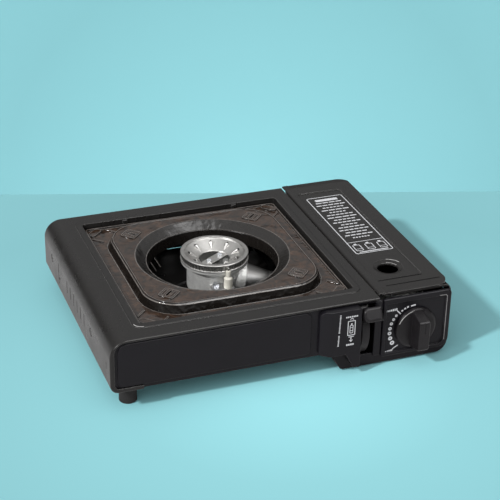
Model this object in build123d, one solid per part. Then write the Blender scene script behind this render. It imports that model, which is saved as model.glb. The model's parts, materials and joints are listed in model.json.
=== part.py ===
from build123d import *
import math
import os

# A portable butane stove with its cartridge compartment on the right-hand side.
# Millimetres. X runs to the right, Y to the back and Z up, from a point on the table
# under the middle of the stove.

# Driving dimensions
body_width = 346.5
body_depth = 265.0
knob_reach = 21.0
shell_top = 77.0
shell_floor = 22.0
sheet = 1.0
lip = 2.0
seam_x = 95.3
compartment_x = 100.0
gas_axis_x = 135.5
gas_axis_z = 37.5
burner_centre = (-27.6, 11.5)
pan_centre = (-29.75, 11.0)
opening_size = 216.5

# Limits of the casing
half_width = body_width / 2
front_y = knob_reach - (body_depth + knob_reach) / 2
back_y = front_y + body_depth
table_gap = 2.0
tub_top = 68.0
tub_corner_top = 73.7
shell_top_radius = 18.0
shell_bottom_radius = 8.5
flange_end_x = -141.5
panel_y = front_y + lip
rear_y = back_y - lip
side_screw_places = [(-52.0, 50.0), (108.0, 50.0)]
rear_screw_x = (-150.0, -28.0, 84.0)
stile_x = (91.6, 99.2)
lever_cover_right = 74.0

# Pan opening of the shell
rim_height = 1.0
rim_width = 6.5
ledge_z = 70.0
ledge_width = 8.5

# Lid and its hinge
lid_top = 79.0
lid_right = 172.3
lid_ends = (front_y + 5.5, back_y - 0.3)
lid_corner = 12.0
lid_skirt_z = 64.0
lid_end_skirt_z = 76.2
lid_bevel_run = 10.0
lid_bevel_drops = (1.5, 1.0)
hinge_bevel_drops = (0.7, 0.7)
hinge_x = 99.4
hinge_z = 75.6
roll_radius = 3.4
knuckle_radius = 2.1
pin_radius = 1.2
running_gap = 0.06
knuckle_length = 5.0
knuckle_gap = 0.6
knuckle_starts = (-112.0, back_y - 14.0)
hinge_strip_x = hinge_x + roll_radius + knuckle_gap

# Lock lever and the slide it drives
lever_axis = (-92.0, 42.0)
lever_radius = 36.0
lever_span_x = (75.8, 83.6)
crank_radius = 8.5
crank_angle = 60.0
lever_pin_radius = 2.5
lever_cheek_x = 72.4
slide_guide_starts = (-84.0, -67.0)

# Burner heights
tray_z = 24.0
cup_floor = 33.0
cup_top = 75.0
cap_top = 83.0
plateau_z = 80.3

# Gas side
nozzle_y = -66.0
chamber_y = -84.0
lead_wall = (97.7, -76.0, 19.0)


def block(xs, ys, zs):
    """Box between the given limits along X, Y and Z."""
    size = (xs[1] - xs[0], ys[1] - ys[0], zs[1] - zs[0])
    middle = ((xs[0] + xs[1]) / 2, (ys[0] + ys[1]) / 2, (zs[0] + zs[1]) / 2)
    return Pos(*middle) * Box(*size)


def outline(points, radii):
    """Flat face whose corners are rounded by the radii, one for each point."""
    return make_face(FilletPolyline(*points, radius=radii, close=True))


def slab(centre, size, radius, zs):
    """Rounded rectangle in plan, pushed from one height to another."""
    plane = Plane((centre[0], centre[1], zs[0]))
    return extrude(plane * RectangleRounded(size[0], size[1], radius), zs[1] - zs[0])


def prism_x(points, radii, xs):
    """Outline drawn in Y and Z, pushed from the first X to the second."""
    plane = Plane((xs[0], 0, 0), x_dir=(0, 1, 0), z_dir=(1, 0, 0))
    return extrude(plane * outline(points, radii), xs[1] - xs[0])


def prism_y(points, radii, ys):
    """Outline drawn in X and Z, pushed from the first Y to the second."""
    plane = Plane((0, ys[1], 0), x_dir=(1, 0, 0), z_dir=(0, -1, 0))
    return extrude(plane * outline(points, radii), ys[1] - ys[0])


def slab_x(centre, size, radius, xs):
    """Rounded rectangle in Y and Z, pushed along X."""
    plane = Plane((xs[0], centre[0], centre[1]), x_dir=(0, 1, 0), z_dir=(1, 0, 0))
    return extrude(plane * RectangleRounded(size[0], size[1], radius), xs[1] - xs[0])


def slab_y(centre, size, radius, ys):
    """Rounded rectangle in X and Z, pushed along Y."""
    plane = Plane((centre[0], ys[1], centre[1]), x_dir=(1, 0, 0), z_dir=(0, -1, 0))
    return extrude(plane * RectangleRounded(size[0], size[1], radius), ys[1] - ys[0])


def inset_box(points, inset):
    """The four corners of an upright rectangle, lower left first, moved inwards."""
    (left, low), (right, _), (_, high), _ = points
    left, right = left + inset, right - inset
    low, high = low + inset, high - inset
    return [(left, low), (right, low), (right, high), (left, high)]


def grown_box(points, growth):
    """The four corners of an upright rectangle moved outwards."""
    return inset_box(points, -growth)


def prism_z(points, radii, zs):
    """Outline drawn in plan, pushed from the first Z to the second."""
    return extrude(Plane((0, 0, zs[0])) * outline(points, radii), zs[1] - zs[0])


def turned(points, radii, centre):
    """Half section of radius and height, turned about an upright axis."""
    plane = Plane((centre[0], centre[1], 0), x_dir=(1, 0, 0), z_dir=(0, -1, 0))
    axis = Axis((centre[0], centre[1], 0), (0, 0, 1))
    return revolve(plane * outline(points, radii), axis)


def turned_y(points, radii, centre):
    """Half section of radius and Y, turned about an axis that runs front to back."""
    plane = Plane((centre[0], 0, centre[1]))
    axis = Axis((centre[0], 0, centre[1]), (0, 1, 0))
    return revolve(plane * outline(points, radii), axis)


def rod(start, end, radius):
    """Round bar from one point to another."""
    run = Vector(*end) - Vector(*start)
    plane = Plane(Vector(*start), z_dir=run)
    return plane * Cylinder(radius, run.length, align=(Align.CENTER, Align.CENTER, Align.MIN))


def taper(start, end, radius_a, radius_b):
    """Round bar whose radius changes evenly from one end to the other."""
    run = Vector(*end) - Vector(*start)
    plane = Plane(Vector(*start), z_dir=run)
    return plane * Cone(radius_a, radius_b, run.length, align=(Align.CENTER, Align.CENTER, Align.MIN))


def polar(centre, radius, angle):
    """Point at a radius and an angle in degrees round a centre."""
    turn = math.radians(angle)
    return (centre[0] + radius * math.cos(turn), centre[1] + radius * math.sin(turn))


def around(centre, angle, solid):
    """Solid made on the +X side of the origin, turned and moved to a centre."""
    return Pos(centre[0], centre[1], 0) * Rot(0, 0, angle) * solid


# Casing


def shell_block(inset, wall):
    """The left and top cover as a closed block, moved in by inset, its ends by wall."""
    left = -half_width + inset
    right = seam_x - inset
    top = shell_top - inset
    floor = shell_floor + inset
    points = [(left, floor), (right, floor), (right, top), (left, top)]
    radii = [shell_bottom_radius - inset, 0, 0, shell_top_radius - inset]
    return prism_y(points, radii, (front_y + wall, back_y - wall))


def end_rounded(solid, radius):
    """Block with the edges of its front and rear faces rounded, but not the seam's."""
    ends = solid.faces().filter_by(Axis.Y)
    edges = [edge for face in ends for edge in face.edges() if edge.center().X < seam_x - lip]
    floor = min(edge.center().Z for edge in edges)
    return fillet([edge for edge in edges if edge.center().Z > floor + 0.1], radius)


def left_wall_openings():
    """Vent slots, a hooked tab slot and a small slot through the left wall."""
    wall = (-half_width - 1, -half_width + 2 * sheet)
    cuts = []
    vent_pitch = 13.8
    for row in range(6):
        y = 43.0 - row * vent_pitch
        cuts.append(slab_x((y, 49.0), (2.5, 14.0), 1.2, wall))
    cuts.append(block(wall, (78.0, 80.5), (35.0, 58.5)))
    cuts.append(block(wall, (73.5, 78.5), (41.0, 43.5)))
    cuts.append(slab_x((-108.0, 46.0), (1.8, 8.0), 0.8, wall))
    return cuts


def main_shell():
    shell = end_rounded(shell_block(0, 0), 1.8) - shell_block(sheet, lip)
    low = shell_floor - 1
    past = (front_y - 1, back_y + 1)
    shell -= block((flange_end_x, seam_x + 1), past, (low, shell_floor + 2 * sheet))
    shell -= block((seam_x - 2 * sheet, seam_x + 1), past, (low, 68.0))
    window_left = -half_width + 4.2
    window_top = 74.8
    window = [(window_left, 26.5), (flange_end_x, 26.5), (flange_end_x, low)]
    window += [(seam_x + 1, low), (seam_x + 1, window_top), (window_left, window_top)]
    for ys in ((front_y - 1, panel_y + 0.5), (rear_y - 0.5, back_y + 1)):
        shell -= prism_y(window, [5, 0, 0, 0, 0, 11], ys)
    opening = (opening_size, opening_size)
    rim = (opening_size + 2 * rim_width, opening_size + 2 * rim_width + 1.5)
    collar = slab(pan_centre, rim, 9, (shell_top - sheet, shell_top + rim_height))
    collar = fillet(collar.faces().sort_by(Axis.Z)[-1].edges(), 0.7)
    well = (opening_size + 2 * sheet, opening_size + 2 * sheet)
    shell += collar
    shell += slab(pan_centre, well, 4.5, (ledge_z - sheet, shell_top))
    shell -= slab(pan_centre, opening, 3.5, (ledge_z, shell_top + 5))
    ledge = opening_size - 2 * ledge_width
    shell -= slab(pan_centre, (ledge, ledge), 14, (ledge_z - 5, ledge_z + 1))
    # Two small lugs on the rear wall of the well steady the pan support.
    well_back = pan_centre[1] + opening_size / 2
    for x in (-91.0, 31.0):
        shell += slab((x, well_back - 0.2), (5.0, 2.4), 1.0, (73.6, 76.6))
    for cut in left_wall_openings():
        shell -= cut
    # Dimples take the heads of the side screws below the face of the wall.
    wall_x = -half_width
    for y, z in side_screw_places:
        shell += rod((wall_x + 0.5, y, z), (wall_x + 2.6, y, z), 5.4)
        shell -= rod((wall_x - 1, y, z), (wall_x + 1.6, y, z), 4.4)
        shell -= rod((wall_x - 1, y, z), (wall_x + 4, y, z), 1.5)
    return shell


def front_panel():
    """Recessed front with a raised field and a stile on the far side of the lever slot."""
    left = -half_width + 1.4
    slot_left = lever_cover_right + 0.4
    points = [(left, 23.4), (slot_left, 23.4), (slot_left, 71.5), (94.0, 71.5), (94.0, 75.8), (left, 75.8)]
    plate = prism_y(points, [7.6, 0, 0, 0, 0, 16.6], (panel_y, panel_y + sheet))
    plate += block((93.0, stile_x[1]), (panel_y, panel_y + sheet), (70.5, 73.4))
    stile = block(stile_x, (panel_y - sheet, panel_y + sheet), (12.0, 72.4))
    stile = fillet(stile.faces().sort_by(Axis.Y)[0].edges().filter_by(Axis.Z), 0.8)
    inside = (stile_x[0] + sheet, stile_x[1] - sheet)
    plate += stile - block(inside, (panel_y, panel_y + lip), (11.0, 70.5))
    field = [(-166.0, 27.5), (25.0, 27.5), (25.0, 73.0), (-166.0, 73.0)]
    proud = 1.7
    plate -= prism_y(inset_box(field, sheet), [5, 4, 5, 9], (panel_y - 1, panel_y + 2))
    raised = prism_y(field, [6, 5, 6, 10], (panel_y - proud, panel_y + sheet))
    raised = fillet(raised.faces().sort_by(Axis.Y)[0].edges(), 0.8)
    raised -= prism_y(inset_box(field, sheet), [5, 4, 5, 9], (panel_y - proud + sheet, panel_y + 2))
    return plate + raised


def lever_cover_block(inset):
    """Raised cover beside the lever, with a sloping left flank and a cut chin."""
    face_y = panel_y - 10.0 + inset
    left = 32.7 + inset
    right = lever_cover_right - inset
    flank = [(left, panel_y + inset * 2), (left, face_y + 7.0), (left + 9.5, face_y)]
    flank += [(right, face_y), (right, panel_y + inset * 2)]
    across = prism_z(flank, [0, 3, 4, 1.2, 0], (0, 80))
    low = 25.0 + inset
    high = 73.6 - inset
    chin = 9.0 + inset
    front = [(left, low), (58.5, low), (66.8, chin), (right, chin), (right, high), (left, high)]
    return across & prism_y(front, [3.5, 1, 1.5, 1, 2.5, 8], (-140, -100))


def lever_cover():
    return lever_cover_block(0) - lever_cover_block(sheet)


def knob_panel():
    right = half_width
    low = 9.0
    high = 73.4
    points = [(compartment_x, low), (right, low), (right, high), (compartment_x, high)]
    radii = [2.5, 10, 5, 2.5]
    frame = prism_y(points, radii, (front_y, panel_y + sheet))
    frame = fillet(frame.faces().sort_by(Axis.Y)[0].edges(), 1.6)
    inner = [(103.2, 13.0), (167.6, 13.0), (167.6, 68.0), (103.2, 68.0)]
    field = prism_y(inner, [2, 7, 3, 2], (front_y - 1, panel_y - 0.1))
    behind_frame = prism_y(inset_box(points, sheet), [1.6, 9, 4, 1.6], (front_y + sheet, panel_y + 2))
    behind_frame -= prism_y(grown_box(inner, sheet), [3, 8, 4, 3], (front_y, panel_y + 3))
    plate = frame - field - behind_frame
    behind_field = prism_y(inner, [2, 7, 3, 2], (panel_y + 0.9, panel_y + 2))
    plate -= behind_field
    # Hole for the valve spindle.
    plate -= rod((gas_axis_x, panel_y - 1, gas_axis_z), (gas_axis_x, panel_y + 2, gas_axis_z), 6.5)
    return plate


def rear_panel():
    left = -half_width + 1.4
    points = [(left, 23.4), (96.4, 23.4), (96.4, 67.6), (94.0, 67.6), (94.0, 75.8), (left, 75.8)]
    plate = prism_y(points, [7.6, 0, 0, 0, 0, 15.2], (rear_y - sheet, rear_y))
    for row in range(2):
        for column in range(9):
            x = -132.0 + column * 24.0
            z = 38.0 + row * 14.0
            plate -= slab_y((x, z), (16.0, 3.0), 1.4, (rear_y - 2, rear_y + 1))
    for x in rear_screw_x:
        plate -= rod((x, rear_y - 2, 66.0), (x, rear_y + 1, 66.0), 1.5)
    return plate


def tub_section(inset, top):
    """Outline of the cartridge compartment across the stove, from floor to right wall."""
    right = half_width - inset
    lip_x = lid_right - 1.7 - inset
    low = table_gap + inset
    points = [(51.0 + inset, top), (51.0 + inset, 15.0), (58.5 + inset * 0.6, low)]
    points += [(right, low), (right, 62.0), (lip_x, 63.7), (lip_x, top)]
    return points, [0, 3, 3, 12 - inset, 0, 0, 0]


def cartridge_tub():
    outer = tub_section(0, tub_top)
    inner = tub_section(sheet, tub_top + 2)
    walls = (panel_y + sheet, back_y)
    tub = prism_y(*outer, walls) - prism_y(*inner, (walls[0] + sheet, walls[1] - sheet))
    # Only the floor and the right wall stand above the base plate's flange.
    tub -= block((50.0, 97.0), (walls[0] - 1, back_y + 1), (shell_floor + sheet, 80.0))
    tub -= block((96.9, 168.0), (walls[0] - 1, walls[0] + sheet + 0.5), (12.0, 80.0))
    tub -= block((lever_cover_right + 0.4, 97.2), (walls[0] - 1, walls[0] + sheet + 0.5), (14.6, 80.0))
    # The right wall rises to the lid's rounded corners at both ends.
    for end, near in ((walls[0], lid_ends[0] + lid_corner - 0.4), (walls[1], lid_ends[1] - lid_corner + 0.4)):
        post = [(end, 60.0), (near, 60.0), (near, tub_corner_top), (end, tub_corner_top)]
        tub += prism_x(post, [0, 0, 1, 4], (half_width - sheet, half_width))
    tub += block((40.0, 52.0), (walls[0], walls[1] - lip - sheet), (shell_floor, shell_floor + sheet))
    for column in range(5):
        y = -20.0 + column * 24.0
        tub -= slab_x((y, 44.0), (14.0, 3.0), 1.4, (half_width - 2, half_width + 1))
    # Two long beads stiffen the floor under the cartridge.
    for x in (118.0, 153.0):
        tub += rod((x, -40.0, table_gap + 0.35), (x, 120.0, table_gap + 0.35), 1.6)
    tub -= block((60.0, 165.0), (-60.0, 130.0), (-5.0, table_gap))
    return tub


def base_plate():
    plate = slab((-54.0, 10.25), (212.0, 255.5), 6.0, (tray_z - sheet, tray_z))
    for side in (-1, 1):
        for row in range(5):
            y = burner_centre[1] + (row - 2) * 16.0
            x = burner_centre[0] + side * 66.0
            plate -= slab((x, y), (26.0, 4.0), 1.9, (tray_z - 3, tray_z + 1))
    ring = turned([(50, tray_z - 0.2), (56, tray_z - 0.2), (56, tray_z + 1.2), (50, tray_z + 1.2)],
                  [0, 0, 0.9, 0.9], burner_centre)
    return plate + ring


def partition_wall():
    left, right = 97.2, 98.2
    start = panel_y + 2 * sheet
    wall_top = 71.0
    wall = block((left, right), (start, back_y - sheet), (table_gap + sheet, wall_top))
    wall += block((89.0, left + 0.5), (-48.0, 130.0), (table_gap + sheet, table_gap + 2 * sheet))
    crank_y, crank_z = lever_axis
    window = (crank_y - 7.0, crank_y + 8.0)
    wall -= block((left - 1, right + 1), window, (crank_z + 3.6, crank_z + 12.0))
    wall -= rod((left - 1, nozzle_y, gas_axis_z), (right + 1, nozzle_y, gas_axis_z), 7.0)
    wall -= rod((left - 1, lead_wall[1], lead_wall[2]), (right + 1, lead_wall[1], lead_wall[2]), 1.8)
    for column in range(6):
        y = -20.0 + column * 24.0
        wall -= slab_x((y, 58.0), (14.0, 3.0), 1.4, (left - 1, right + 1))
    wall -= rod((left - 1, crank_y, crank_z), (right + 1, crank_y, crank_z), lever_pin_radius)
    # Tabs jog away from the wall and curl into the fixed knuckles of the lid hinge.
    for y in knuckle_starts:
        ys = (y, y + knuckle_length)
        knuckle = rod((hinge_x, ys[0], hinge_z), (hinge_x, ys[1], hinge_z), knuckle_radius)
        knuckle += block((left, hinge_x + 0.8), ys, (wall_top - sheet, wall_top))
        knuckle += block((hinge_x - 0.3, hinge_x + 0.8), ys, (wall_top - sheet, hinge_z - 1.5))
        knuckle -= rod((hinge_x, y - 1, hinge_z), (hinge_x, y + knuckle_length + 1, hinge_z), pin_radius)
        wall += knuckle
    # Hooked guides hold the cartridge slide against the wall.
    for y in slide_guide_starts:
        for edge, lip_z in ((58.3, 57.0), (42.7, 42.7)):
            wall += block((right - 0.5, 101.4), (y, y + 7), (edge, edge + 1.0))
            wall += block((100.2, 101.4), (y, y + 7), (lip_z, lip_z + 2.3))
    return wall


def foot(place, radius, height):
    x, y = place
    points = [(0, 0), (radius, 0), (radius - 0.4, height), (0, height)]
    return turned(points, [0, min(1.2, height / 3), 0, 0], (x, y))


def case_screws():
    """Round-head screws of the side wall and the rear panel."""
    screws = []
    wall_x = -half_width + 1.6
    for y, z in side_screw_places:
        head = rod((wall_x - 1.4, y, z), (wall_x, y, z), 3.4)
        head -= block((wall_x - 2, wall_x - 0.8), (y - 0.4, y + 0.4), (z - 2.2, z + 2.2))
        head -= block((wall_x - 2, wall_x - 0.8), (y - 2.2, y + 2.2), (z - 0.4, z + 0.4))
        screws.append(head + rod((wall_x, y, z), (wall_x + 7, y, z), 1.5))
    for x in rear_screw_x:
        head = rod((x, rear_y, 66.0), (x, rear_y + 1.5, 66.0), 3.4)
        head -= block((x - 2.2, x + 2.2), (rear_y + 0.8, rear_y + 2), (65.6, 66.4))
        screws.append(head + rod((x, rear_y - 6, 66.0), (x, rear_y, 66.0), 1.5))
    return screws


# Burner

bar_angle = 33.0
bar_screw_radius = 8.5
bar_z = 72.0
dish_inner = 15.5
dish_low = 74.4
dish_run = 14.3
dish_rise = 7.2
mouth_direction = Vector(37.5, -9.7, -8.0).normalized()
mouth = Vector(0.5, 3.7, 50.0)
mouth_radius = 17.0
tube_radius = 12.0
tube_turns = ((38.0, -6.0, 42.0), (72.0, nozzle_y, gas_axis_z))
tube_end = (91.0, nozzle_y, gas_axis_z)
taper_length = 25.0
electrode_place = (-25.5, -25.5)
electrode_screw_place = (-36.0, -19.8)
ear_z = 58.8


def along_mouth(distance):
    """Point on the axis of the tube's wide end, a distance out from the cup's boss."""
    point = mouth + mouth_direction * distance
    return (point.X, point.Y, point.Z)


def burner_cup():
    wall = 2.5
    outer = [(0, cup_floor), (20, cup_floor), (28, 44), (28, 69), (34, 72), (34, cup_top), (0, cup_top)]
    cup = turned(outer, [0, 7, 9, 2, 1, 0, 0], burner_centre)
    cup += rod(along_mouth(-16), along_mouth(0), mouth_radius + 1.5)
    inner = [(0, cup_floor + wall), (18.5, cup_floor + wall), (25.5, 44.8), (25.5, 71)]
    inner += [(31.3, 73.4), (31.3, 80), (0, 80)]
    cup -= turned(inner, [0, 5, 7, 2, 0, 0, 0], burner_centre)
    cup -= rod(along_mouth(-9), along_mouth(1), mouth_radius - 1.0)
    for side in (0, 180):
        x, y = polar(burner_centre, bar_screw_radius, bar_angle + side)
        cup += rod((x, y, cup_floor + 1), (x, y, bar_z), 3.4)
        cup -= rod((x, y, bar_z - 8), (x, y, cup_top), 1.5)
    x, y = electrode_screw_place
    ear = rod((x, y, 52.0), (x, y, ear_z), 5.0) + block((x - 5, x + 5), (y, y + 9), (52.0, ear_z))
    ear -= turned([(0, 40), (26.5, 40), (26.5, 70), (0, 70)], [0, 0, 0, 0], burner_centre)
    ear -= rod((x, y, 53.5), (x, y, ear_z + 1), 1.6)
    return cup + ear


def flame_louver():
    """Half cone raised from the dish, with a lighting hole at its wide outer end."""
    slope = math.degrees(math.atan2(dish_rise, dish_run))
    along_dish = Pos(dish_inner + dish_run / 2, 0, dish_low + dish_rise / 2) * Rot(0, -slope, 0)
    cone = taper((-5.0, 0, 0.1), (2.4, 0, 0.1), 0.3, 2.5)
    above = block((-10, 10), (-5, 5), (-0.4, 5))
    return along_dish * (cone & above)


def burner_cap():
    """Dished cap with a ring of flame ports between a rim and a lower flange."""
    port_count = 56
    dish_outer = dish_inner + dish_run
    section = [(dish_inner, bar_z), (dish_inner, dish_low), (dish_outer, dish_low + dish_rise)]
    section += [(30.4, cap_top), (34.5, cap_top), (34.5, 81.2), (33.6, 81.0), (33.6, 76.3)]
    section += [(34.5, 76.0), (34.5, cup_top), (31.3, cup_top), (31.3, 80.0), (30.2, 79.7)]
    section += [(dish_inner + 2, 73.6), (dish_inner + 2, bar_z)]
    radii = [0, 1, 0.6, 0.4, 0.8, 0, 0, 0, 0, 0, 0, 0.8, 0, 0, 0]
    cap = turned(section, radii, burner_centre)
    for port in range(port_count):
        slot = block((30.5, 35.0), (-0.8, 0.8), (76.4, 80.9))
        cap -= around(burner_centre, port * 360 / port_count, slot)
    for hole in range(9):
        cap += around(burner_centre, hole * 40.0, flame_louver())
    for hole in range(9):
        x, y = polar(burner_centre, 25.4, hole * 40.0)
        cap -= rod((x, y, 74.0), (x, y, 84.0), 1.2)
    bar = block((-dish_inner - 0.5, dish_inner + 0.5), (-5.0, 5.0), (bar_z, bar_z + 1.8))
    for side in (-1, 1):
        bar -= rod((side * bar_screw_radius, 0, bar_z - 1), (side * bar_screw_radius, 0, bar_z + 3), 1.6)
    return cap + around(burner_centre, bar_angle, bar)


def burner_screws():
    screws = []
    seat = bar_z + 1.8
    for side in (0, 180):
        x, y = polar(burner_centre, bar_screw_radius, bar_angle + side)
        head = turned([(0, seat), (3.0, seat), (2.6, seat + 1.8), (0, seat + 2.1)], [0, 0, 0.5, 0], (x, y))
        for across, along in ((2.0, 0.4), (0.4, 2.0)):
            head -= block((x - across, x + across), (y - along, y + along), (seat + 1.2, seat + 3))
        screws.append(head + rod((x, y, bar_z - 7), (x, y, seat), 1.5))
    return screws


def burner_bracket():
    """Low bridge of sheet that carries the burner above the base plate."""
    x, y = burner_centre
    ys = (y - 15.0, y + 15.0)
    top = cup_floor - sheet
    bridge = block((x - 16, x + 16), ys, (top, cup_floor))
    for side in (-1, 1):
        near, far = sorted((x + side * 16, x + side * 15))
        bridge += block((near, far), ys, (tray_z, cup_floor))
        near, far = sorted((x + side * 16, x + side * 25))
        bridge += block((near, far), ys, (tray_z, tray_z + sheet))
    bridge -= rod((x, y, top - 1), (x, y, cup_floor + 1), 4.0)
    return bridge


def tube_path():
    return FilletPolyline(along_mouth(taper_length), *tube_turns, tube_end, radius=[26, 22])


def mixing_tube():
    """Trumpet at the burner that narrows into a bent tube towards the gas nozzle."""
    path = tube_path()
    ring = Plane(path @ 0, z_dir=path % 0)
    outer = sweep(ring * Circle(tube_radius), path)
    inner = sweep(ring * Circle(tube_radius - sheet), path)
    outer += taper(along_mouth(0), along_mouth(taper_length), mouth_radius, tube_radius)
    outer += rod(along_mouth(0), along_mouth(1.5), mouth_radius + 1.5)
    inner += taper(along_mouth(0), along_mouth(taper_length), mouth_radius - 1, tube_radius - sheet)
    return outer - inner


def air_shutter():
    """Collar at the nozzle end of the mixing tube, with windows for the air."""
    start = tube_end[0] - 4.5
    collar = rod((start, nozzle_y, gas_axis_z), tube_end, tube_radius + 1.2)
    collar -= rod((start - 1, nozzle_y, gas_axis_z), (tube_end[0] + 1, nozzle_y, gas_axis_z), tube_radius)
    return collar


def electrode_ceramic():
    points = [(0.9, 47), (3.2, 47), (3.2, 57), (4.4, 57), (4.4, 70), (2.6, 71.5), (2.6, 78), (0.9, 78)]
    return turned(points, [0, 0.5, 0, 0.6, 1, 0.6, 0.4, 0], electrode_place)


def electrode_wire():
    x, y = electrode_place
    wire = rod((x, y, 44.0), (x, y, 80.6), 0.9)
    return wire + rod((x, y - 0.4, 80.2), (x, y + 2.2, 80.4), 0.8)


def electrode_bracket():
    """Flat strip from the cup's ear to the ceramic, with one end turned up."""
    x, y = electrode_place
    screw_x, screw_y = electrode_screw_place
    top = ear_z + sheet
    strip = slab(((x + screw_x) / 2 + 0.6, (y + screw_y) / 2), (23.4, 13.0), 3.0, (ear_z, top))
    cup_clear = turned([(0, 50), (28.4, 50), (28.4, 70), (0, 70)], [0, 0, 0, 0], burner_centre)
    strip += block((x + 5.6, x + 6.6), (y - 3.5, y + 3.0), (ear_z, 70.0))
    strip -= cup_clear
    strip -= rod((x, y, ear_z - 1), (x, y, top + 1), 4.4)
    return strip - rod((screw_x, screw_y, ear_z - 1), (screw_x, screw_y, top + 1), 1.6)


def electrode_screw():
    x, y = electrode_screw_place
    top = ear_z + sheet
    hexagon = extrude(Plane((x, y, top + 0.8)) * RegularPolygon(3.6, 6), 2.2)
    washer = rod((x, y, top), (x, y, top + 0.8), 3.8)
    return hexagon + washer + rod((x, y, ear_z - 5), (x, y, top), 1.5)


def ignition_lead():
    """Insulated lead from the piezo unit, under the lever, up to the electrode."""
    x, y = electrode_place
    route = [(108.0, -96.0, 19.0), (108.0, -80.0, 19.0), lead_wall, (82.0, -76.0, 17.5)]
    route += [(66.0, -82.0, 20.5), (55.0, -84.0, 27.6), (40.0, -83.0, 29.6)]
    route += [(14.0, -66.0, 29.0), (-10.0, -46.0, 29.0), (x, y, 31.0), (x, y, 44.0)]
    radii = []
    for before, corner, after in zip(route, route[1:], route[2:]):
        run_in = Vector(*corner) - Vector(*before)
        run_out = Vector(*after) - Vector(*corner)
        half_turn = math.radians(run_in.get_angle(run_out)) / 2
        shorter = min(run_in.length, run_out.length)
        radii.append(0.45 * shorter / math.tan(half_turn))
    path = FilletPolyline(*route, radius=radii)
    ring = Plane(path @ 0, z_dir=path % 0)
    return sweep(ring * Circle(1.1), path)


# Gas and control side

def regulator_body():
    x, z = gas_axis_x, gas_axis_z
    body = rod((x, -104, z), (x, -60, z), 13.0)
    body += block((x - 15, x + 15), (-102, -66), (z - 11, z + 11))
    body += rod((x, chamber_y, z), (x, chamber_y, 53.0), 11.0)
    body += turned([(0, 52), (21, 52), (23, 54), (23, 57), (0, 57)], [0, 1, 1, 0, 0], (x, chamber_y))
    body += rod((x, nozzle_y, z), (101.0, nozzle_y, z), 5.9)
    for side in (-1, 1):
        post_x = x + side * 15
        body += rod((post_x, panel_y + 0.9, z), (post_x, -100, z), 4.0)
    body -= rod((x, -105, z), (x, -90, z), 4.0 + running_gap)
    return body


def regulator_cover():
    """Domed cover of the diaphragm chamber, with a vent hole and four screw ears."""
    centre = (gas_axis_x, chamber_y)
    points = [(0, 57), (23, 57), (23, 60), (17, 61), (15, 66), (0, 68)]
    cover = turned(points, [0, 0, 1, 1.5, 3, 0], centre)
    for angle in (45, 135, 225, 315):
        x, y = polar(centre, 20.2, angle)
        cover -= rod((x, y, 56), (x, y, 61.5), 1.3)
    return cover - rod((centre[0] + 8, centre[1], 60), (centre[0] + 8, centre[1], 70), 1.0)


def regulator_screws():
    screws = []
    for angle in (45, 135, 225, 315):
        x, y = polar((gas_axis_x, chamber_y), 20.2, angle)
        screws.append(rod((x, y, 60.8), (x, y, 62.2), 2.2) + rod((x, y, 57.0), (x, y, 60.8), 1.2))
    return screws


def gas_nozzle():
    """Brass jet screwed into the regulator's side outlet."""
    x = 101.0
    plane = Plane((x, nozzle_y, gas_axis_z), z_dir=(-1, 0, 0))
    jet = extrude(plane * RegularPolygon(5.4, 6), 4.5)
    jet += taper((x - 4.5, nozzle_y, gas_axis_z), (x - 13, nozzle_y, gas_axis_z), 3.4, 1.8)
    return jet - rod((x - 2, nozzle_y, gas_axis_z), (x - 14, nozzle_y, gas_axis_z), 0.6)


def cartridge_connector():
    """Round seat that the cartridge's valve presses against, with its guide tab."""
    x, z = gas_axis_x, gas_axis_z
    points = [(2.4, -60), (15, -60), (15, -56), (11, -54), (8.6, -54), (8.6, -56.5), (2.4, -56.5)]
    seat = turned_y(points, [0, 0, 0.8, 0.6, 0, 0, 0], (x, z))
    return seat + block((x - 1.6, x + 1.6), (-60, -52.5), (z + 13, z + 18))


def connector_seal():
    points = [(3.2, -56.5), (6.8, -56.5), (6.8, -54.6), (3.2, -54.6)]
    return turned_y(points, [0, 0, 0.9, 0.9], (gas_axis_x, gas_axis_z))


def piezo_igniter():
    """Spark unit beside the valve: a striker barrel in a moulded block."""
    unit = block((103.0, 113.0), (-117.0, -96.0), (12.0, 26.0))
    unit = fillet(unit.edges().filter_by(Axis.Y), 2.0)
    unit += rod((108, -96.5, 19), (108, -92, 19), 3.0)
    unit += block((104.5, 111.5), (panel_y + 0.9, -116.5), (13.5, 24.5))
    return unit - rod((108, -96.0, 19), (108, -91, 19), 1.1)


def valve_spindle():
    x, z = gas_axis_x, gas_axis_z
    spindle = rod((x, -126.0, z), (x, -91.0, z), 4.0)
    return spindle - block((x + 2.6, x + 6), (-127.0, -118.0), (z - 5, z + 5))


def control_knob():
    """Round dial with a thick pointer bar across its face."""
    x, z = gas_axis_x, gas_axis_z
    back = panel_y - 0.6
    dial = [(0, back), (21.6, back), (21.4, back - 3.4), (19.0, back - 4.6), (0, back - 6.0)]
    knob = turned_y(dial, [0, 0.4, 1.2, 1.5, 0], (x, z))
    reach = front_y - knob_reach
    side = [(-20.4, back - 1.0), (20.4, back - 1.0), (20.0, back - 5.0), (15.6, reach), (-15.6, reach),
            (-20.0, back - 5.0)]
    length = prism_x([(y, offset) for offset, y in side], [0, 0, 3, 3, 3, 3], (-5.8, 5.8))
    bar = Pos(x, 0, z) * length
    edges = bar.faces().sort_by(Axis.Y)[0].edges()
    bar = fillet(edges, 1.4)
    knob += bar
    # A line on the bar points to the setting.
    knob -= block((x - 0.7, x + 0.7), (reach - 1, reach + 0.5), (z + 3, z + 20))
    knob -= rod((x, -126.0, z), (x, back + 1, z), 4.0)
    return knob + block((x + 2.6, x + 4.4), (-126.0, back), (z - 3.4, z + 3.4))


# Lock lever


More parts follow.
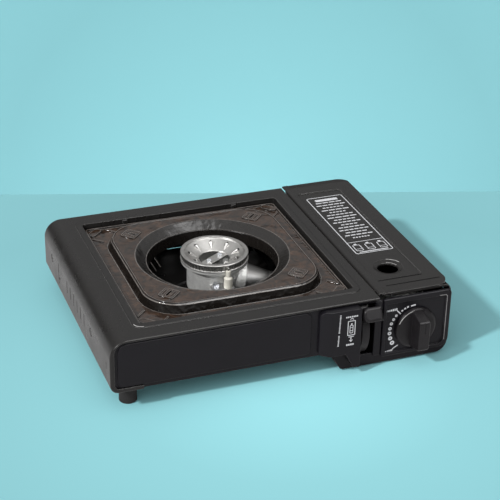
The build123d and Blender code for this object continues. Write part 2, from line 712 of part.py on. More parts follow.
def lever_point(radius, angle):
    """Y and Z at a radius from the lever's axis, at an angle above straight ahead."""
    turn = math.radians(angle)
    return (lever_axis[0] - radius * math.cos(turn), lever_axis[1] + radius * math.sin(turn))


def lock_lever():
    y, z = lever_axis
    left, right = lever_span_x
    disc = rod((left, y, z), (right, y, z), lever_radius)
    wedge = [lever_axis, lever_point(60, -42), lever_point(70, 0), lever_point(60, 48)]
    disc &= prism_x(wedge, [0, 0, 0, 0], (left - 1, right + 1))
    # The web between rim and hub is thinned from both sides.
    for face, depth in ((left, 2.6), (right, -2.6)):
        xs = sorted((face - depth, face + depth))
        pocket = rod((xs[0], y, z), (xs[1], y, z), lever_radius - 4.0)
        pocket -= rod((xs[0], y, z), (xs[1], y, z), 15.0)
        disc -= pocket
    lever = disc + rod((left, y, z), (right, y, z), 12.0)
    lever += rod((right, y, z), (96.6, y, z), 5.0)
    # Finger grip with a rounded left end; its right end passes in front of the stile.
    half_grip = 7.3
    reach, root, clear = 47.0, 33.5, 39.2
    grip = block((left - 0.7, 94.6), (-reach, -root), (-half_grip, half_grip))
    left_edges = grip.edges().filter_by(Axis.Y).sort_by(Axis.X)[:2]
    grip = fillet(left_edges, 5.5)
    grip = fillet(grip.faces().sort_by(Axis.Y)[0].edges(), 2.6)
    grip -= block((stile_x[0] - 1.0, 97.0), (-clear, -root + 1), (-half_grip - 1, half_grip + 1))
    lever += Pos(0, y, z) * Rot(-31.0, 0, 0) * grip
    lever -= rod((left - 1, y, z), (97.0, y, z), lever_pin_radius + running_gap)
    pin_y, pin_z = crank_point()
    return lever - rod((left - 1, pin_y, pin_z), (97.0, pin_y, pin_z), 1.5)


def crank_point():
    """Y and Z of the drive pin while the lever is up."""
    turn = math.radians(crank_angle)
    return (lever_axis[0] + crank_radius * math.cos(turn), lever_axis[1] + crank_radius * math.sin(turn))


def lever_drive_pin():
    y, z = crank_point()
    return rod((lever_span_x[0] + 0.5, y, z), (101.0, y, z), 1.5)


def lever_pin():
    y, z = lever_axis
    head, cheek = lever_cheek_x - 1.5, lever_cheek_x
    return rod((cheek, y, z), (98.3, y, z), lever_pin_radius) + rod((head, y, z), (cheek, y, z), 4.0)


def lever_bracket():
    """Cheek that carries the left end of the lever's pin, flanged to the front panel."""
    y, z = lever_axis
    cheek = [(panel_y + sheet, 26), (y + 11, 30), (y + 11, 52), (panel_y + sheet, 58)]
    x = lever_cheek_x
    bracket = prism_x(cheek, [0, 6, 6, 0], (x, x + sheet))
    bracket += block((x - 10.4, x + 0.6), (panel_y + sheet, panel_y + 2 * sheet), (28.0, 56.0))
    return bracket - rod((x - 1, y, z), (x + 2, y, z), lever_pin_radius)


def cartridge_slide():
    """Strip on the partition with a fork that draws the cartridge's collar forward."""
    left, right = 98.6, 99.8
    pin_y, pin_z = crank_point()
    fork_y = -47.2
    strip = block((left, right), (-93.0, fork_y + 1.2), (44.2, 57.6))
    strip -= slab_x((pin_y, pin_z + 0.6), (3.7, 6.4), 1.8, (left - 1, right + 1))
    outer = [(left, 14.0), (165.0, 14.0), (165.0, 57.6), (left, 57.6)]
    fork = prism_y(outer, [10, 10, 4, 0], (fork_y, fork_y + 1.2))
    x, z = gas_axis_x, gas_axis_z
    fork -= rod((x, fork_y - 1, z), (x, fork_y + 3, z), 20.0)
    fork -= block((x - 20, x + 20), (fork_y - 1, fork_y + 3), (z, 60))
    return strip + fork


def cartridge_spring():
    """Bowed leaf on the rear wall that pushes the cartridge forward."""
    wall = back_y - sheet
    points = [(wall, 18), (wall - 8, 31), (wall - 8, 44), (wall, 57), (wall, 55.6)]
    points += [(wall - 7.2, 43.7), (wall - 7.2, 31.3), (wall, 19.4)]
    return prism_x(points, [0, 6, 6, 0, 0, 5.2, 5.2, 0], (gas_axis_x - 11, gas_axis_x + 11))


# Lid


def end_bevels(top, drops, xs):
    """Wedges that slope a top face down towards the two ends of the lid."""
    wedges = []
    for y, inward, drop in zip(lid_ends, (1, -1), drops):
        outside = y - inward
        inside = y + inward * lid_bevel_run
        low = top - drop * (lid_bevel_run + 1) / lid_bevel_run
        wedge = [(outside, low), (inside, top), (inside, top + 5), (outside, top + 5)]
        wedges.append(prism_x(wedge, [0, 0, 0, 0], xs))
    return wedges


def lid_block(inset):
    """The lid as a closed block, its right corners round in plan and its ends bevelled."""
    left = hinge_x
    right = lid_right - inset
    top = lid_top - inset
    front, rear = lid_ends[0] + inset, lid_ends[1] - inset
    low = lid_skirt_z - 2 * inset
    corner = lid_corner - inset
    body = prism_y([(left, low), (right, low), (right, top), (left, top)], [0, 0, corner, 0], (front, rear))
    body &= prism_z([(left, front), (right, front), (right, rear), (left, rear)],
                    [0, corner, corner, 0], (low, top))
    for wedge in end_bevels(top, lid_bevel_drops, (hinge_strip_x - inset, lid_right + 1)):
        body -= wedge
    return body


def curled_edge(ys):
    """Part of a ring round the hinge axis, from its top down the left side."""
    x, z = hinge_x, hinge_z
    ring = rod((x, ys[0], z), (x, ys[1], z), roll_radius)
    ring -= rod((x, ys[0] - 1, z), (x, ys[1] + 1, z), roll_radius - sheet)
    drop = math.tan(math.radians(30.0))
    sector = [(x, z), (x + 0.001, z + 8), (x - 8, z + 8), (x - 8, z + 8 * drop)]
    return ring & prism_y(sector, [0, 0, 0, 0], (ys[0] - 1, ys[1] + 1))


def compartment_lid():
    lid = lid_block(0) - lid_block(sheet)
    past = (front_y - 1, back_y + 1)
    # Only the straight part of the right edge has a deep skirt.
    for end in lid_ends:
        near = (end - lid_corner - 0.4, end + lid_corner + 0.4)
        lid -= block((hinge_x, half_width + 1), near, (60.0, lid_end_skirt_z - 2 * sheet))
        lid -= block((hinge_x, half_width + 1), (end - 1.6, end + 1.6), (60.0, lid_end_skirt_z))
    # Recessed field, one sheet deep.
    field_centre = (129.0, 12.0)
    field = (50.0, 209.0)
    lid -= slab(field_centre, field, 4, (lid_top - sheet, lid_top + 2))
    grown = (field[0] + 2 * sheet, field[1] + 2 * sheet)
    lid += slab(field_centre, grown, 5, (lid_top - 2 * sheet, lid_top - sheet))
    # Finger hole in a dished ring.
    hole = (128.6, -67.5)
    lid -= turned([(0, 70), (15.5, 70), (15.5, 90), (0, 90)], [0, 0, 0, 0], hole)
    dish = [(10.5, 74.4), (11.5, 74.4), (11.9, 75.6), (15.5, 76.9), (16.4, 76.9), (16.4, 77.9)]
    dish += [(15.2, 77.9), (11.0, 76.5), (10.5, 76.0)]
    lid += turned(dish, [0, 0, 0.8, 0, 0, 0, 0.8, 0.5, 0], hole)
    # The hinge edge curls over the fixed knuckles and rolls up fully between them.
    lid -= block((hinge_x - 5, hinge_strip_x - sheet), past, (70.0, lid_top - sheet))
    roll_span = (knuckle_starts[0] + knuckle_length + knuckle_gap, knuckle_starts[1] - knuckle_gap)
    lid += curled_edge((lid_ends[0], roll_span[0]))
    lid += curled_edge((roll_span[1], lid_ends[1]))
    for wedge in end_bevels(lid_top, hinge_bevel_drops, (hinge_x - 5, hinge_strip_x)):
        lid -= wedge
    roll = rod((hinge_x, roll_span[0], hinge_z), (hinge_x, roll_span[1], hinge_z), roll_radius)
    lid += roll + block((hinge_x, hinge_x + 5), roll_span, (lid_top - sheet, lid_top))
    return lid - rod((hinge_x, front_y, hinge_z), (hinge_x, back_y, hinge_z), pin_radius + running_gap)


def lid_pin(knuckle_y, inward):
    """Short hinge pin through a fixed knuckle into the end of the lid's roll."""
    start = knuckle_y if inward > 0 else knuckle_y + knuckle_length
    end = start + inward * (knuckle_length + 16.0)
    return rod((hinge_x, start, hinge_z), (hinge_x, end, hinge_z), pin_radius)


# Pan support, stored upside down in the opening

pad_radius = 94.0
prong_angles = (45.0, 135.0, 225.0, 315.0)


def plateau_block(inset):
    """Raised middle of the pan support with drafted sides and a rounded top edge."""
    low = ledge_z + 0.2
    foot_half = 93.5 - inset
    top_half = 89.5 - inset
    bottom = Plane((pan_centre[0], pan_centre[1], low)) * RectangleRounded(
        2 * foot_half, 2 * foot_half, 39 - inset)
    top = Plane((pan_centre[0], pan_centre[1], plateau_z - inset)) * RectangleRounded(
        2 * top_half, 2 * top_half, 36 - inset)
    body = loft([bottom.face(), top.face()])
    return fillet(body.faces().sort_by(Axis.Z)[-1].edges(), 2.4 - inset)


def pan_support():
    low = ledge_z + 0.2
    outer = (212.0, 213.0)
    flange = slab(pan_centre, outer, 5, (low, low + sheet))
    flange += slab(pan_centre, outer, 5, (low, low + 2.6))
    flange -= slab(pan_centre, (208.4, 209.4), 4, (low + sheet, low + 4))
    raised = plateau_block(0)
    hollow = plateau_block(sheet)
    hollow += slab(pan_centre, (185.0, 185.0), 38, (low - 3, low))
    plate = flange + raised - hollow
    # Rolled bead along the edge of the plateau.
    bead = slab(pan_centre, (179.0, 179.0), 36, (plateau_z - sheet, plateau_z + 0.5))
    bead -= slab(pan_centre, (174.6, 174.6), 34, (plateau_z - 2, plateau_z + 2))
    plate += bead & slab(pan_centre, (177.4, 177.4), 35, (plateau_z - 1, plateau_z + 1))
    # Funnel and collar round the burner.
    plate -= turned([(0, 60), (77.5, 60), (77.5, 90), (0, 90)], [0, 0, 0, 0], pan_centre)
    funnel = [(65.2, 61.5), (66.2, 61.5), (67.6, 72.6), (69.0, 73.4), (77.9, plateau_z - sheet)]
    funnel += [(78.5, plateau_z - sheet), (78.5, plateau_z), (77.2, plateau_z), (67.8, 74.1), (66.6, 73.2)]
    plate += turned(funnel, [0, 0, 1, 0, 0, 0, 0, 1.5, 1, 0], pan_centre)
    # Raised pads over the prongs, each with three slots along the radius.
    for angle in prong_angles:
        pad = slab((pad_radius, 0), (17.0, 17.0), 2.5, (plateau_z - sheet, plateau_z + 0.8))
        plate += around(pan_centre, angle, pad)
        for offset in (-4.7, 0.0, 4.7):
            slot = slab((pad_radius, offset), (11.0, 2.2), 0.9, (plateau_z - 3, plateau_z + 3))
            plate -= around(pan_centre, angle, slot)
        boss = slab((137.5, 0), (9.0, 18.0), 4.0, (low + 0.5, low + 2.2))
        plate += around(pan_centre, angle, boss)
        for offset in (-13.0, 13.0):
            rib = slab((126.0, offset), (14.0, 2.4), 1.1, (low + 0.5, low + 1.8))
            plate += around(pan_centre, angle, rib)
    return plate


def pan_prong(angle):
    """Channel with two toothed cheeks, fixed under the plateau by tabs in the slots."""
    top = plateau_z - sheet
    cheek = [(86, top), (103, top), (104.5, 60), (104.5, 46), (100, 44.5), (64, 44.5), (62, 47)]
    prong = block((86.0, 103.0), (-5.5, 5.5), (top - 1.2, top))
    for offset in (-4.7, 4.7):
        half = 0.8
        plane = Plane((0, offset + half, 0), x_dir=(1, 0, 0), z_dir=(0, -1, 0))
        blade = extrude(plane * outline(cheek, [0, 0, 3, 3, 1, 1.5, 1]), 2 * half)
        for tooth in range(5):
            blade -= block((67 + tooth * 7, 69 + tooth * 7), (offset - 2, offset + 2), (43, 46.2))
        prong += blade
        prong += block((89.0, 99.0), (offset - half, offset + half), (top - 0.5, plateau_z + 0.8))
    return around(pan_centre, angle, prong)


def write(name, shape):
    solids = shape if isinstance(shape, list) else [shape]
    parts = [piece for solid in solids for piece in solid.solids()]
    export_step(Compound(children=parts) if len(parts) > 1 else parts[0], f"parts/{name}.step")


os.makedirs("parts", exist_ok=True)
write("main_shell", main_shell())
write("front_panel", front_panel())
write("lever_cover", lever_cover())
write("knob_panel", knob_panel())
write("rear_panel", rear_panel())
write("base_plate", base_plate())
write("cartridge_tub", cartridge_tub())
write("partition_wall", partition_wall())
write("foot_left_front", foot((-151.5, -100.7), 8.7, shell_floor))
write("foot_left_rear", foot((-151.5, 128.0), 8.7, shell_floor))
write("foot_right_front", foot((152.0, -104.0), 8.0, table_gap))
write("foot_right_rear", foot((152.0, 126.0), 8.0, table_gap))
write("case_screws", case_screws())
write("burner_cup", burner_cup())
write("burner_cap", burner_cap())
write("burner_screws", burner_screws())
write("burner_bracket", burner_bracket())
write("mixing_tube", mixing_tube())
write("air_shutter", air_shutter())
write("electrode_ceramic", electrode_ceramic())
write("electrode_wire", electrode_wire())
write("electrode_bracket", electrode_bracket())
write("electrode_screw", electrode_screw())
write("ignition_lead", ignition_lead())
write("regulator_body", regulator_body())
write("regulator_cover", regulator_cover())
write("regulator_screws", regulator_screws())
write("gas_nozzle", gas_nozzle())
write("cartridge_connector", cartridge_connector())
write("connector_seal", connector_seal())
write("piezo_igniter", piezo_igniter())
write("valve_spindle", valve_spindle())
write("control_knob", control_knob())
write("lock_lever", lock_lever())
write("lever_drive_pin", lever_drive_pin())
write("lever_pin", lever_pin())
write("lever_bracket", lever_bracket())
write("cartridge_slide", cartridge_slide())
write("cartridge_spring", cartridge_spring())
write("compartment_lid", compartment_lid())
write("lid_pin_front", lid_pin(knuckle_starts[0], 1))
write("lid_pin_rear", lid_pin(knuckle_starts[1], -1))
write("pan_support", pan_support())
for number, angle in enumerate(prong_angles, start=1):
    write(f"pan_prong_{number}", pan_prong(angle))
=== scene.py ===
import json
import math

import bpy
import numpy as np
from mathutils import Matrix, Vector


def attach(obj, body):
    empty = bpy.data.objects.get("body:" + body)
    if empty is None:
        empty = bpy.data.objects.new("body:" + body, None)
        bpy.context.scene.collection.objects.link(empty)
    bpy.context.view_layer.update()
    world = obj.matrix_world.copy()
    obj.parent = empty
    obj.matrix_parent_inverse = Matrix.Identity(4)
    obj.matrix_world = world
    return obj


# The finish of a table stove with a lidded cartridge bay, in the frame's metres: X runs to
# the right, Y to the back and Z up from the table. Formed pieces and marks are worked out in
# millimetres and brought to metres where their mesh is made.

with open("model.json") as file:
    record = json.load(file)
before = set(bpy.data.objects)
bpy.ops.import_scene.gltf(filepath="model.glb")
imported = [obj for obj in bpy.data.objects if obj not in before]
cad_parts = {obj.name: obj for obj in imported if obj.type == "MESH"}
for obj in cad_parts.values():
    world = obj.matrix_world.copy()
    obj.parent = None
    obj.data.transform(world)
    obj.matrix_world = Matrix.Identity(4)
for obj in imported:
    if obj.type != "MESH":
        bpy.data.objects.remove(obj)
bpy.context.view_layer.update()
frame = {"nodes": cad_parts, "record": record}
nodes = frame["nodes"]
mm = 0.001


# Places on the solids, in millimetres

knob_centre = np.array([135.5, 37.5])
pan_centre = np.array([-29.75, 11.0])
burner_centre = np.array([-27.6, 11.5])
finger_hole = np.array([128.6, -67.5])
rim_corner = np.array([-135.5, -95.5])
lever_cover_y, dial_y, front_lip_y, knob_panel_y = -130.0, -124.74, -122.0, -120.1
lid_front_y, lid_front_ends = -116.5, (110.0, 171.0)
lid_top_z, lid_field_z, finger_dish_z, rim_top_z = 79.0, 78.0, 76.72, 78.0
plateau_z, flange_z = 80.3, 70.2
funnel_radius = 78.0
pad_radius, prong_angles = 94.0, (45.0, 135.0, 225.0, 315.0)
vent_shade_x = -173.05


# Camera

camera_place = Vector((-0.44425, -1.20118, 0.74646))
camera_look = Vector((0.31213, 0.83174, -0.45912))
camera_roll = math.radians(1.04)
camera_lens, film_width = 102.96, 36.0


def make_camera():
    """Long lens from the left of the front, looking down at the stove."""
    data = bpy.data.cameras.new("camera")
    data.sensor_width = film_width
    data.lens = camera_lens
    camera = bpy.data.objects.new("camera", data)
    camera.rotation_mode = "QUATERNION"
    camera.location = camera_place
    look = camera_look.to_track_quat("-Z", "Y").to_matrix()
    camera.rotation_quaternion = (look @ Matrix.Rotation(camera_roll, 3, "Z")).to_quaternion()
    bpy.context.scene.collection.objects.link(camera)
    bpy.context.scene.camera = camera


# Shader building


def add(tree, kind, inputs=None, **settings):
    """New node; each input is a number, a colour or another node's output."""
    node = tree.nodes.new(kind)
    for name, value in settings.items():
        setattr(node, name, value)
    for name, value in (inputs or {}).items():
        if isinstance(value, bpy.types.NodeSocket):
            tree.links.new(value, node.inputs[name])
        else:
            node.inputs[name].default_value = value
    return node


def maths(tree, operation, *values, clamp=False):
    """Result of a sum on one, two or three values."""
    inputs = dict(enumerate(values))
    return add(tree, "ShaderNodeMath", inputs, operation=operation, use_clamp=clamp).outputs[0]


def vector_maths(tree, operation, first, second):
    """Result of a sum on two vectors: a number for a distance or a dot product."""
    node = add(tree, "ShaderNodeVectorMath", {0: first, 1: second}, operation=operation)
    return node.outputs["Value" if operation in ("DISTANCE", "DOT_PRODUCT") else "Vector"]


def mixed(tree, share, first, second):
    """Colour between the first and the second by a share."""
    factor, colour_a, colour_b, colour_result = 0, 6, 7, 2
    inputs = {factor: share, colour_a: first, colour_b: second}
    return add(tree, "ShaderNodeMix", inputs, data_type="RGBA").outputs[colour_result]


def remapped(tree, value, old, new):
    """Value moved from the old range to the new one and held inside it."""
    inputs = {"Value": value, "From Min": old[0], "From Max": old[1],
              "To Min": new[0], "To Max": new[1]}
    return add(tree, "ShaderNodeMapRange", inputs).outputs["Result"]


def stepped(tree, value, steps):
    """Level that runs straight from step to step; each step is a value and the level there."""
    level = steps[0][1]
    for (start, low), (end, high) in zip(steps[:-1], steps[1:]):
        level = maths(tree, "ADD", level, remapped(tree, value, (start, end), (0.0, high - low)))
    return level


def object_coordinates(tree):
    """Place on the piece, in the frame's metres."""
    return add(tree, "ShaderNodeTexCoord").outputs["Object"]


def upward(tree):
    """How far a face looks up: the Z part of its normal."""
    normal = add(tree, "ShaderNodeNewGeometry").outputs["Normal"]
    return add(tree, "ShaderNodeSeparateXYZ", {0: normal}).outputs["Z"]


def noise(tree, place, scale, detail=2.0, roughness=0.5, distortion=0.0):
    """Cloudy value from 0 to 1."""
    inputs = {"Vector": place, "Scale": scale, "Detail": detail, "Roughness": roughness,
              "Distortion": distortion}
    return add(tree, "ShaderNodeTexNoise", inputs).outputs["Fac"]


def new_group(name, inputs, values, vectors=()):
    """Empty shader group: number inputs with their defaults, then number and vector outputs."""
    tree = bpy.data.node_groups.new(name, "ShaderNodeTree")
    for label, value in inputs.items():
        socket = tree.interface.new_socket(label, in_out="INPUT", socket_type="NodeSocketFloat")
        socket.default_value = value
    for labels, kind in ((values, "NodeSocketFloat"), (vectors, "NodeSocketVector")):
        for label in labels:
            tree.interface.new_socket(label, in_out="OUTPUT", socket_type=kind)
    given, result = tree.nodes.new("NodeGroupInput"), tree.nodes.new("NodeGroupOutput")
    return tree, given.outputs, result.inputs


def placed(tree, group, **values):
    """The group inside a material, with this material's own values; returns its outputs."""
    node = tree.nodes.new("ShaderNodeGroup")
    node.node_tree = group
    for label, value in values.items():
        node.inputs[label.capitalize()].default_value = value
    return node.outputs


# Effects that several finishes share


def coat_grain_group():
    """Orange peel of sprayed paint over a finer powder grain."""
    tree, given, result = new_group("coat_grain", {"Scale": 900.0}, ["Height"])
    powder_fineness, powder_share = 3.7, 0.45
    place = object_coordinates(tree)
    peel = noise(tree, place, given["Scale"], 1.0)
    powder = noise(tree, place, maths(tree, "MULTIPLY", given["Scale"], powder_fineness), 2.0)
    both = maths(tree, "MULTIPLY_ADD", powder, powder_share, peel)
    tree.links.new(both, result["Height"])
    return tree


def edge_wear_and_highlight_group():
    """Rounded normal along the edges, and a mask of them: paint rubbed thin, and in the powder coat
    also a painted highlight.
    """
    tree, given, result = new_group("edge_wear_and_highlight", {"Radius": 0.0008, "Amount": 0.5},
                                    ["Mask"], ["Normal"])
    soft = add(tree, "ShaderNodeBevel", {"Radius": given["Radius"]}, samples=6).outputs[0]
    flat = add(tree, "ShaderNodeNewGeometry").outputs["True Normal"]
    bend = maths(tree, "SUBTRACT", 1.0, vector_maths(tree, "DOT_PRODUCT", soft, flat))
    patchy = noise(tree, object_coordinates(tree), 260.0, 4.0, 0.65)
    edge_highlight = remapped(tree, maths(tree, "MULTIPLY", bend, patchy), (0.02, 0.12), (0.0, 1.0))
    tree.links.new(maths(tree, "MULTIPLY", edge_highlight, given["Amount"], clamp=True), result["Mask"])
    tree.links.new(soft, result["Normal"])
    return tree


def handling_group():
    """Cloudy wipe marks, and dust in specks that settles where a face looks up."""
    tree, given, result = new_group("handling", {"Scale": 22.0}, ["Smudge", "Dust"])
    place = object_coordinates(tree)
    cloud = noise(tree, place, given["Scale"], 5.0, 0.6, 0.4)
    tree.links.new(remapped(tree, cloud, (0.35, 0.7), (0.0, 1.0)), result["Smudge"])
    specks = remapped(tree, noise(tree, place, 700.0, 3.0, 0.7), (0.56, 0.72), (0.0, 1.0))
    facing = maths(tree, "MULTIPLY", upward(tree), specks, clamp=True)
    tree.links.new(maths(tree, "MULTIPLY", facing, cloud), result["Dust"])
    return tree


def enamel_flow_group():
    """Slow waves and brown clouds of fired enamel, a few pin-sized specks, and a painted
    highlight along the creases where a face turns from level to steep. Level marks faces
    that look up, and Funnel what lies within the funnel's radius of the pan's axis."""
    tree, given, result = new_group("enamel_flow", {"Scale": 60.0},
                                    ["Height", "Cloud", "Speck", "Crease_highlight", "Level", "Funnel"])
    ripple_fineness, ripple_share, cloud_fineness, speck_scale = 5.0, 0.12, 1.1, 1400.0
    place = object_coordinates(tree)
    waves = noise(tree, place, given["Scale"], 2.0, 0.45, 0.8)
    ripple = noise(tree, place, maths(tree, "MULTIPLY", given["Scale"], ripple_fineness), 1.0)
    height = maths(tree, "MULTIPLY_ADD", ripple, ripple_share, waves)
    tree.links.new(height, result["Height"])
    cloud_scale = maths(tree, "MULTIPLY", given["Scale"], cloud_fineness)
    cloud = noise(tree, place, cloud_scale, 6.0, 0.68, 2.2)
    tree.links.new(remapped(tree, cloud, (0.36, 0.66), (0.0, 1.0)), result["Cloud"])
    dots = add(tree, "ShaderNodeTexVoronoi", {"Vector": place, "Scale": speck_scale}, feature="F1")
    speck = remapped(tree, dots.outputs["Distance"], (0.12, 0.2), (1.0, 0.0))
    tree.links.new(speck, result["Speck"])
    # Painted highlight: a mask along the faces that turn from level to steep.
    up = upward(tree)
    turning = maths(tree, "MULTIPLY", remapped(tree, up, (0.40, 0.52), (0.0, 1.0)),
                    remapped(tree, up, (0.68, 0.79), (1.0, 0.0)))
    patchy = remapped(tree, noise(tree, place, 120.0, 3.0, 0.6), (0.3, 0.6), (0.35, 1.0))
    tree.links.new(maths(tree, "MULTIPLY", turning, patchy), result["Crease_highlight"])
    tree.links.new(remapped(tree, up, (0.86, 0.98), (0.0, 1.0)), result["Level"])
    flat = vector_maths(tree, "MULTIPLY", place, (1.0, 1.0, 0.0))
    pan_axis = (pan_centre[0] * mm, pan_centre[1] * mm, 0.0)
    away = vector_maths(tree, "DISTANCE", flat, pan_axis)
    rim = (funnel_radius * mm, (funnel_radius + 0.6) * mm)
    tree.links.new(remapped(tree, away, rim, (1.0, 0.0)), result["Funnel"])
    return tree


def metal_grain_group():
    """Rolling streaks along X crossed with the crystal patches of plated sheet."""
    tree, given, result = new_group("metal_grain", {"Scale": 240.0, "Stretch": 0.06},
                                    ["Streak", "Patch"])
    streak_fineness = 12.0
    place = object_coordinates(tree)
    shorter = {"X": given["Stretch"], "Y": 1.0, "Z": 1.0}
    stretch = add(tree, "ShaderNodeCombineXYZ", shorter).outputs[0]
    long_way = vector_maths(tree, "MULTIPLY", place, stretch)
    streak_scale = maths(tree, "MULTIPLY", given["Scale"], streak_fineness)
    tree.links.new(noise(tree, long_way, streak_scale, 3.0, 0.6), result["Streak"])
    cells = add(tree, "ShaderNodeTexVoronoi", {"Vector": place, "Scale": given["Scale"]},
                feature="F1")
    patch = add(tree, "ShaderNodeSeparateColor", {0: cells.outputs["Color"]}).outputs[0]
    tree.links.new(patch, result["Patch"])
    return tree


coat_grain = coat_grain_group()
edge_wear_and_highlight = edge_wear_and_highlight_group()
handling = handling_group()
enamel_flow = enamel_flow_group()
metal_grain = metal_grain_group()


# Finishes

pale_dust = (0.42, 0.40, 0.37, 1.0)
grey_dust = (0.40, 0.38, 0.35, 1.0)
top_shade_black = (0.03, 0.027, 0.024, 1.0)
bright_edge = (0.85, 0.84, 0.82, 1.0)


def new_surface(name, **plain):
    """Material with one Principled shader; plain values go straight onto its sockets."""
    material = bpy.data.materials.new(name)
    material.use_nodes = True
    tree = material.node_tree
    shader = tree.nodes["Principled BSDF"]
    for label, value in plain.items():
        shader.inputs[label.replace("_", " ")].default_value = value
    return material, tree, shader.inputs


def toned(colour, share):
    """The colour with its red, green and blue multiplied by a share."""
    return [share * part for part in colour[:3]] + [1.0]


def bumped(tree, height, strength, distance, normal=None):
    """Normal tipped by a height field, over an optional normal below it."""
    inputs = {"Height": height, "Strength": strength, "Distance": distance}
    if normal is not None:
        inputs["Normal"] = normal
    return add(tree, "ShaderNodeBump", inputs).outputs[0]


def painted(name, colour, pale_edge_highlight, roughness, shine, wear_and_highlight):
    """Powder coat: grain, cloudy gloss, a little dust, and paler edges, partly rubbed paint and
    partly a painted highlight.
    """
    material, tree, shader = new_surface(name, Specular_IOR_Level=shine)
    grain_depth, wiped_share, dust_share = 0.00007, 0.86, 0.10
    grain = placed(tree, coat_grain, scale=900.0)
    edges = placed(tree, edge_wear_and_highlight, radius=0.0008, amount=wear_and_highlight)
    touched = placed(tree, handling, scale=24.0)
    base = mixed(tree, touched["Smudge"], toned(colour, wiped_share), colour)
    # Painted highlight: the edges take the pale colour, partly for rubbed paint and partly for the
    # light they catch.
    base = mixed(tree, edges["Mask"], base, pale_edge_highlight)
    base = mixed(tree, maths(tree, "MULTIPLY", touched["Dust"], dust_share), base, pale_dust)
    tree.links.new(base, shader["Base Color"])
    gloss = remapped(tree, touched["Smudge"], (0.0, 1.0), (roughness - 0.05, roughness + 0.06))
    tree.links.new(gloss, shader["Roughness"])
    normal = bumped(tree, grain["Height"], 0.55, grain_depth, edges["Normal"])
    tree.links.new(normal, shader["Normal"])
    return material


def enamelled(name):
    """Fired enamel: nearly black with brown clouds on its level faces, under a wet gloss that
    ripples. The funnel stays black and has burnt a little duller."""
    material, tree, shader = new_surface(name, Specular_IOR_Level=0.66)
    black, brown = (0.009, 0.0075, 0.0065, 1.0), (0.072, 0.038, 0.022, 1.0)
    speck_tan, highlight_grey = (0.16, 0.12, 0.09, 1.0), (0.20, 0.18, 0.165, 1.0)
    speck_share, burnt_duller, wave_depth = 0.25, 0.20, 0.0026
    flow = placed(tree, enamel_flow, scale=55.0)
    edges = placed(tree, edge_wear_and_highlight, radius=0.0007, amount=0.25)
    outside = maths(tree, "SUBTRACT", flow["Level"], flow["Funnel"], clamp=True)
    base = mixed(tree, maths(tree, "MULTIPLY", flow["Cloud"], outside), black, brown)
    base = mixed(tree, maths(tree, "MULTIPLY", flow["Speck"], speck_share), base, speck_tan)
    # Painted highlight: pale grey along the creases between level and steep faces.
    base = mixed(tree, flow["Crease_highlight"], base, highlight_grey)
    tree.links.new(base, shader["Base Color"])
    gloss = remapped(tree, flow["Cloud"], (0.0, 1.0), (0.05, 0.12))
    gloss = maths(tree, "MULTIPLY_ADD", flow["Funnel"], burnt_duller, gloss)
    tree.links.new(gloss, shader["Roughness"])
    normal = bumped(tree, flow["Height"], 0.55, wave_depth, edges["Normal"])
    tree.links.new(normal, shader["Normal"])
    return material


def bright_metal(name, colour, dull, roughness, grain_depth, top_shade=0.0):
    """Bare or plated metal with rolling streaks, crystal patches and cloudy gloss; top shade is
    the share of painted shade by which faces that look up are darkened."""
    material, tree, shader = new_surface(name, Metallic=1.0)
    patch_share, smudge_share, streak_gloss, smudge_gloss = 0.5, 0.35, 0.16, 0.08
    grain = placed(tree, metal_grain, scale=240.0, stretch=0.06)
    edges = placed(tree, edge_wear_and_highlight, radius=0.0005, amount=0.6)
    touched = placed(tree, handling, scale=40.0)
    patches = remapped(tree, grain["Patch"], (0.0, 1.0), (0.0, patch_share))
    base = mixed(tree, patches, colour, dull)
    base = mixed(tree, maths(tree, "MULTIPLY", touched["Smudge"], smudge_share), base, dull)
    # Painted shade: faces that look up are darkened.
    if top_shade > 0.0:
        base = mixed(tree, remapped(tree, upward(tree), (0.0, 0.7), (0.0, top_shade)), base, top_shade_black)
    tree.links.new(base, shader["Base Color"])
    gloss = maths(tree, "MULTIPLY_ADD", grain["Streak"], streak_gloss, roughness - streak_gloss / 2)
    gloss = maths(tree, "MULTIPLY_ADD", touched["Smudge"], smudge_gloss, gloss, clamp=True)
    tree.links.new(gloss, shader["Roughness"])
    normal = bumped(tree, grain["Streak"], 0.4, grain_depth, edges["Normal"])
    tree.links.new(normal, shader["Normal"])
    return material


def moulded(name, colour, roughness, grain_depth=0.00012, grain_scale=1800.0):
    """Moulded plastic or rubber with a spark-eroded texture and shinier rubbed edges."""
    material, tree, shader = new_surface(name, Specular_IOR_Level=0.27)
    smudged_share, dust_share, edge_shine = 1.5, 0.12, 0.12
    grain = placed(tree, coat_grain, scale=grain_scale)
    edges = placed(tree, edge_wear_and_highlight, radius=0.0006, amount=0.5)
    touched = placed(tree, handling, scale=60.0)
    base = mixed(tree, touched["Smudge"], colour, toned(colour, smudged_share))
    base = mixed(tree, maths(tree, "MULTIPLY", touched["Dust"], dust_share), base, grey_dust)
    tree.links.new(base, shader["Base Color"])
    gloss = remapped(tree, edges["Mask"], (0.0, 1.0), (roughness, roughness - edge_shine))
    tree.links.new(gloss, shader["Roughness"])
    normal = bumped(tree, grain["Height"], 0.5, grain_depth, edges["Normal"])
    tree.links.new(normal, shader["Normal"])
    return material


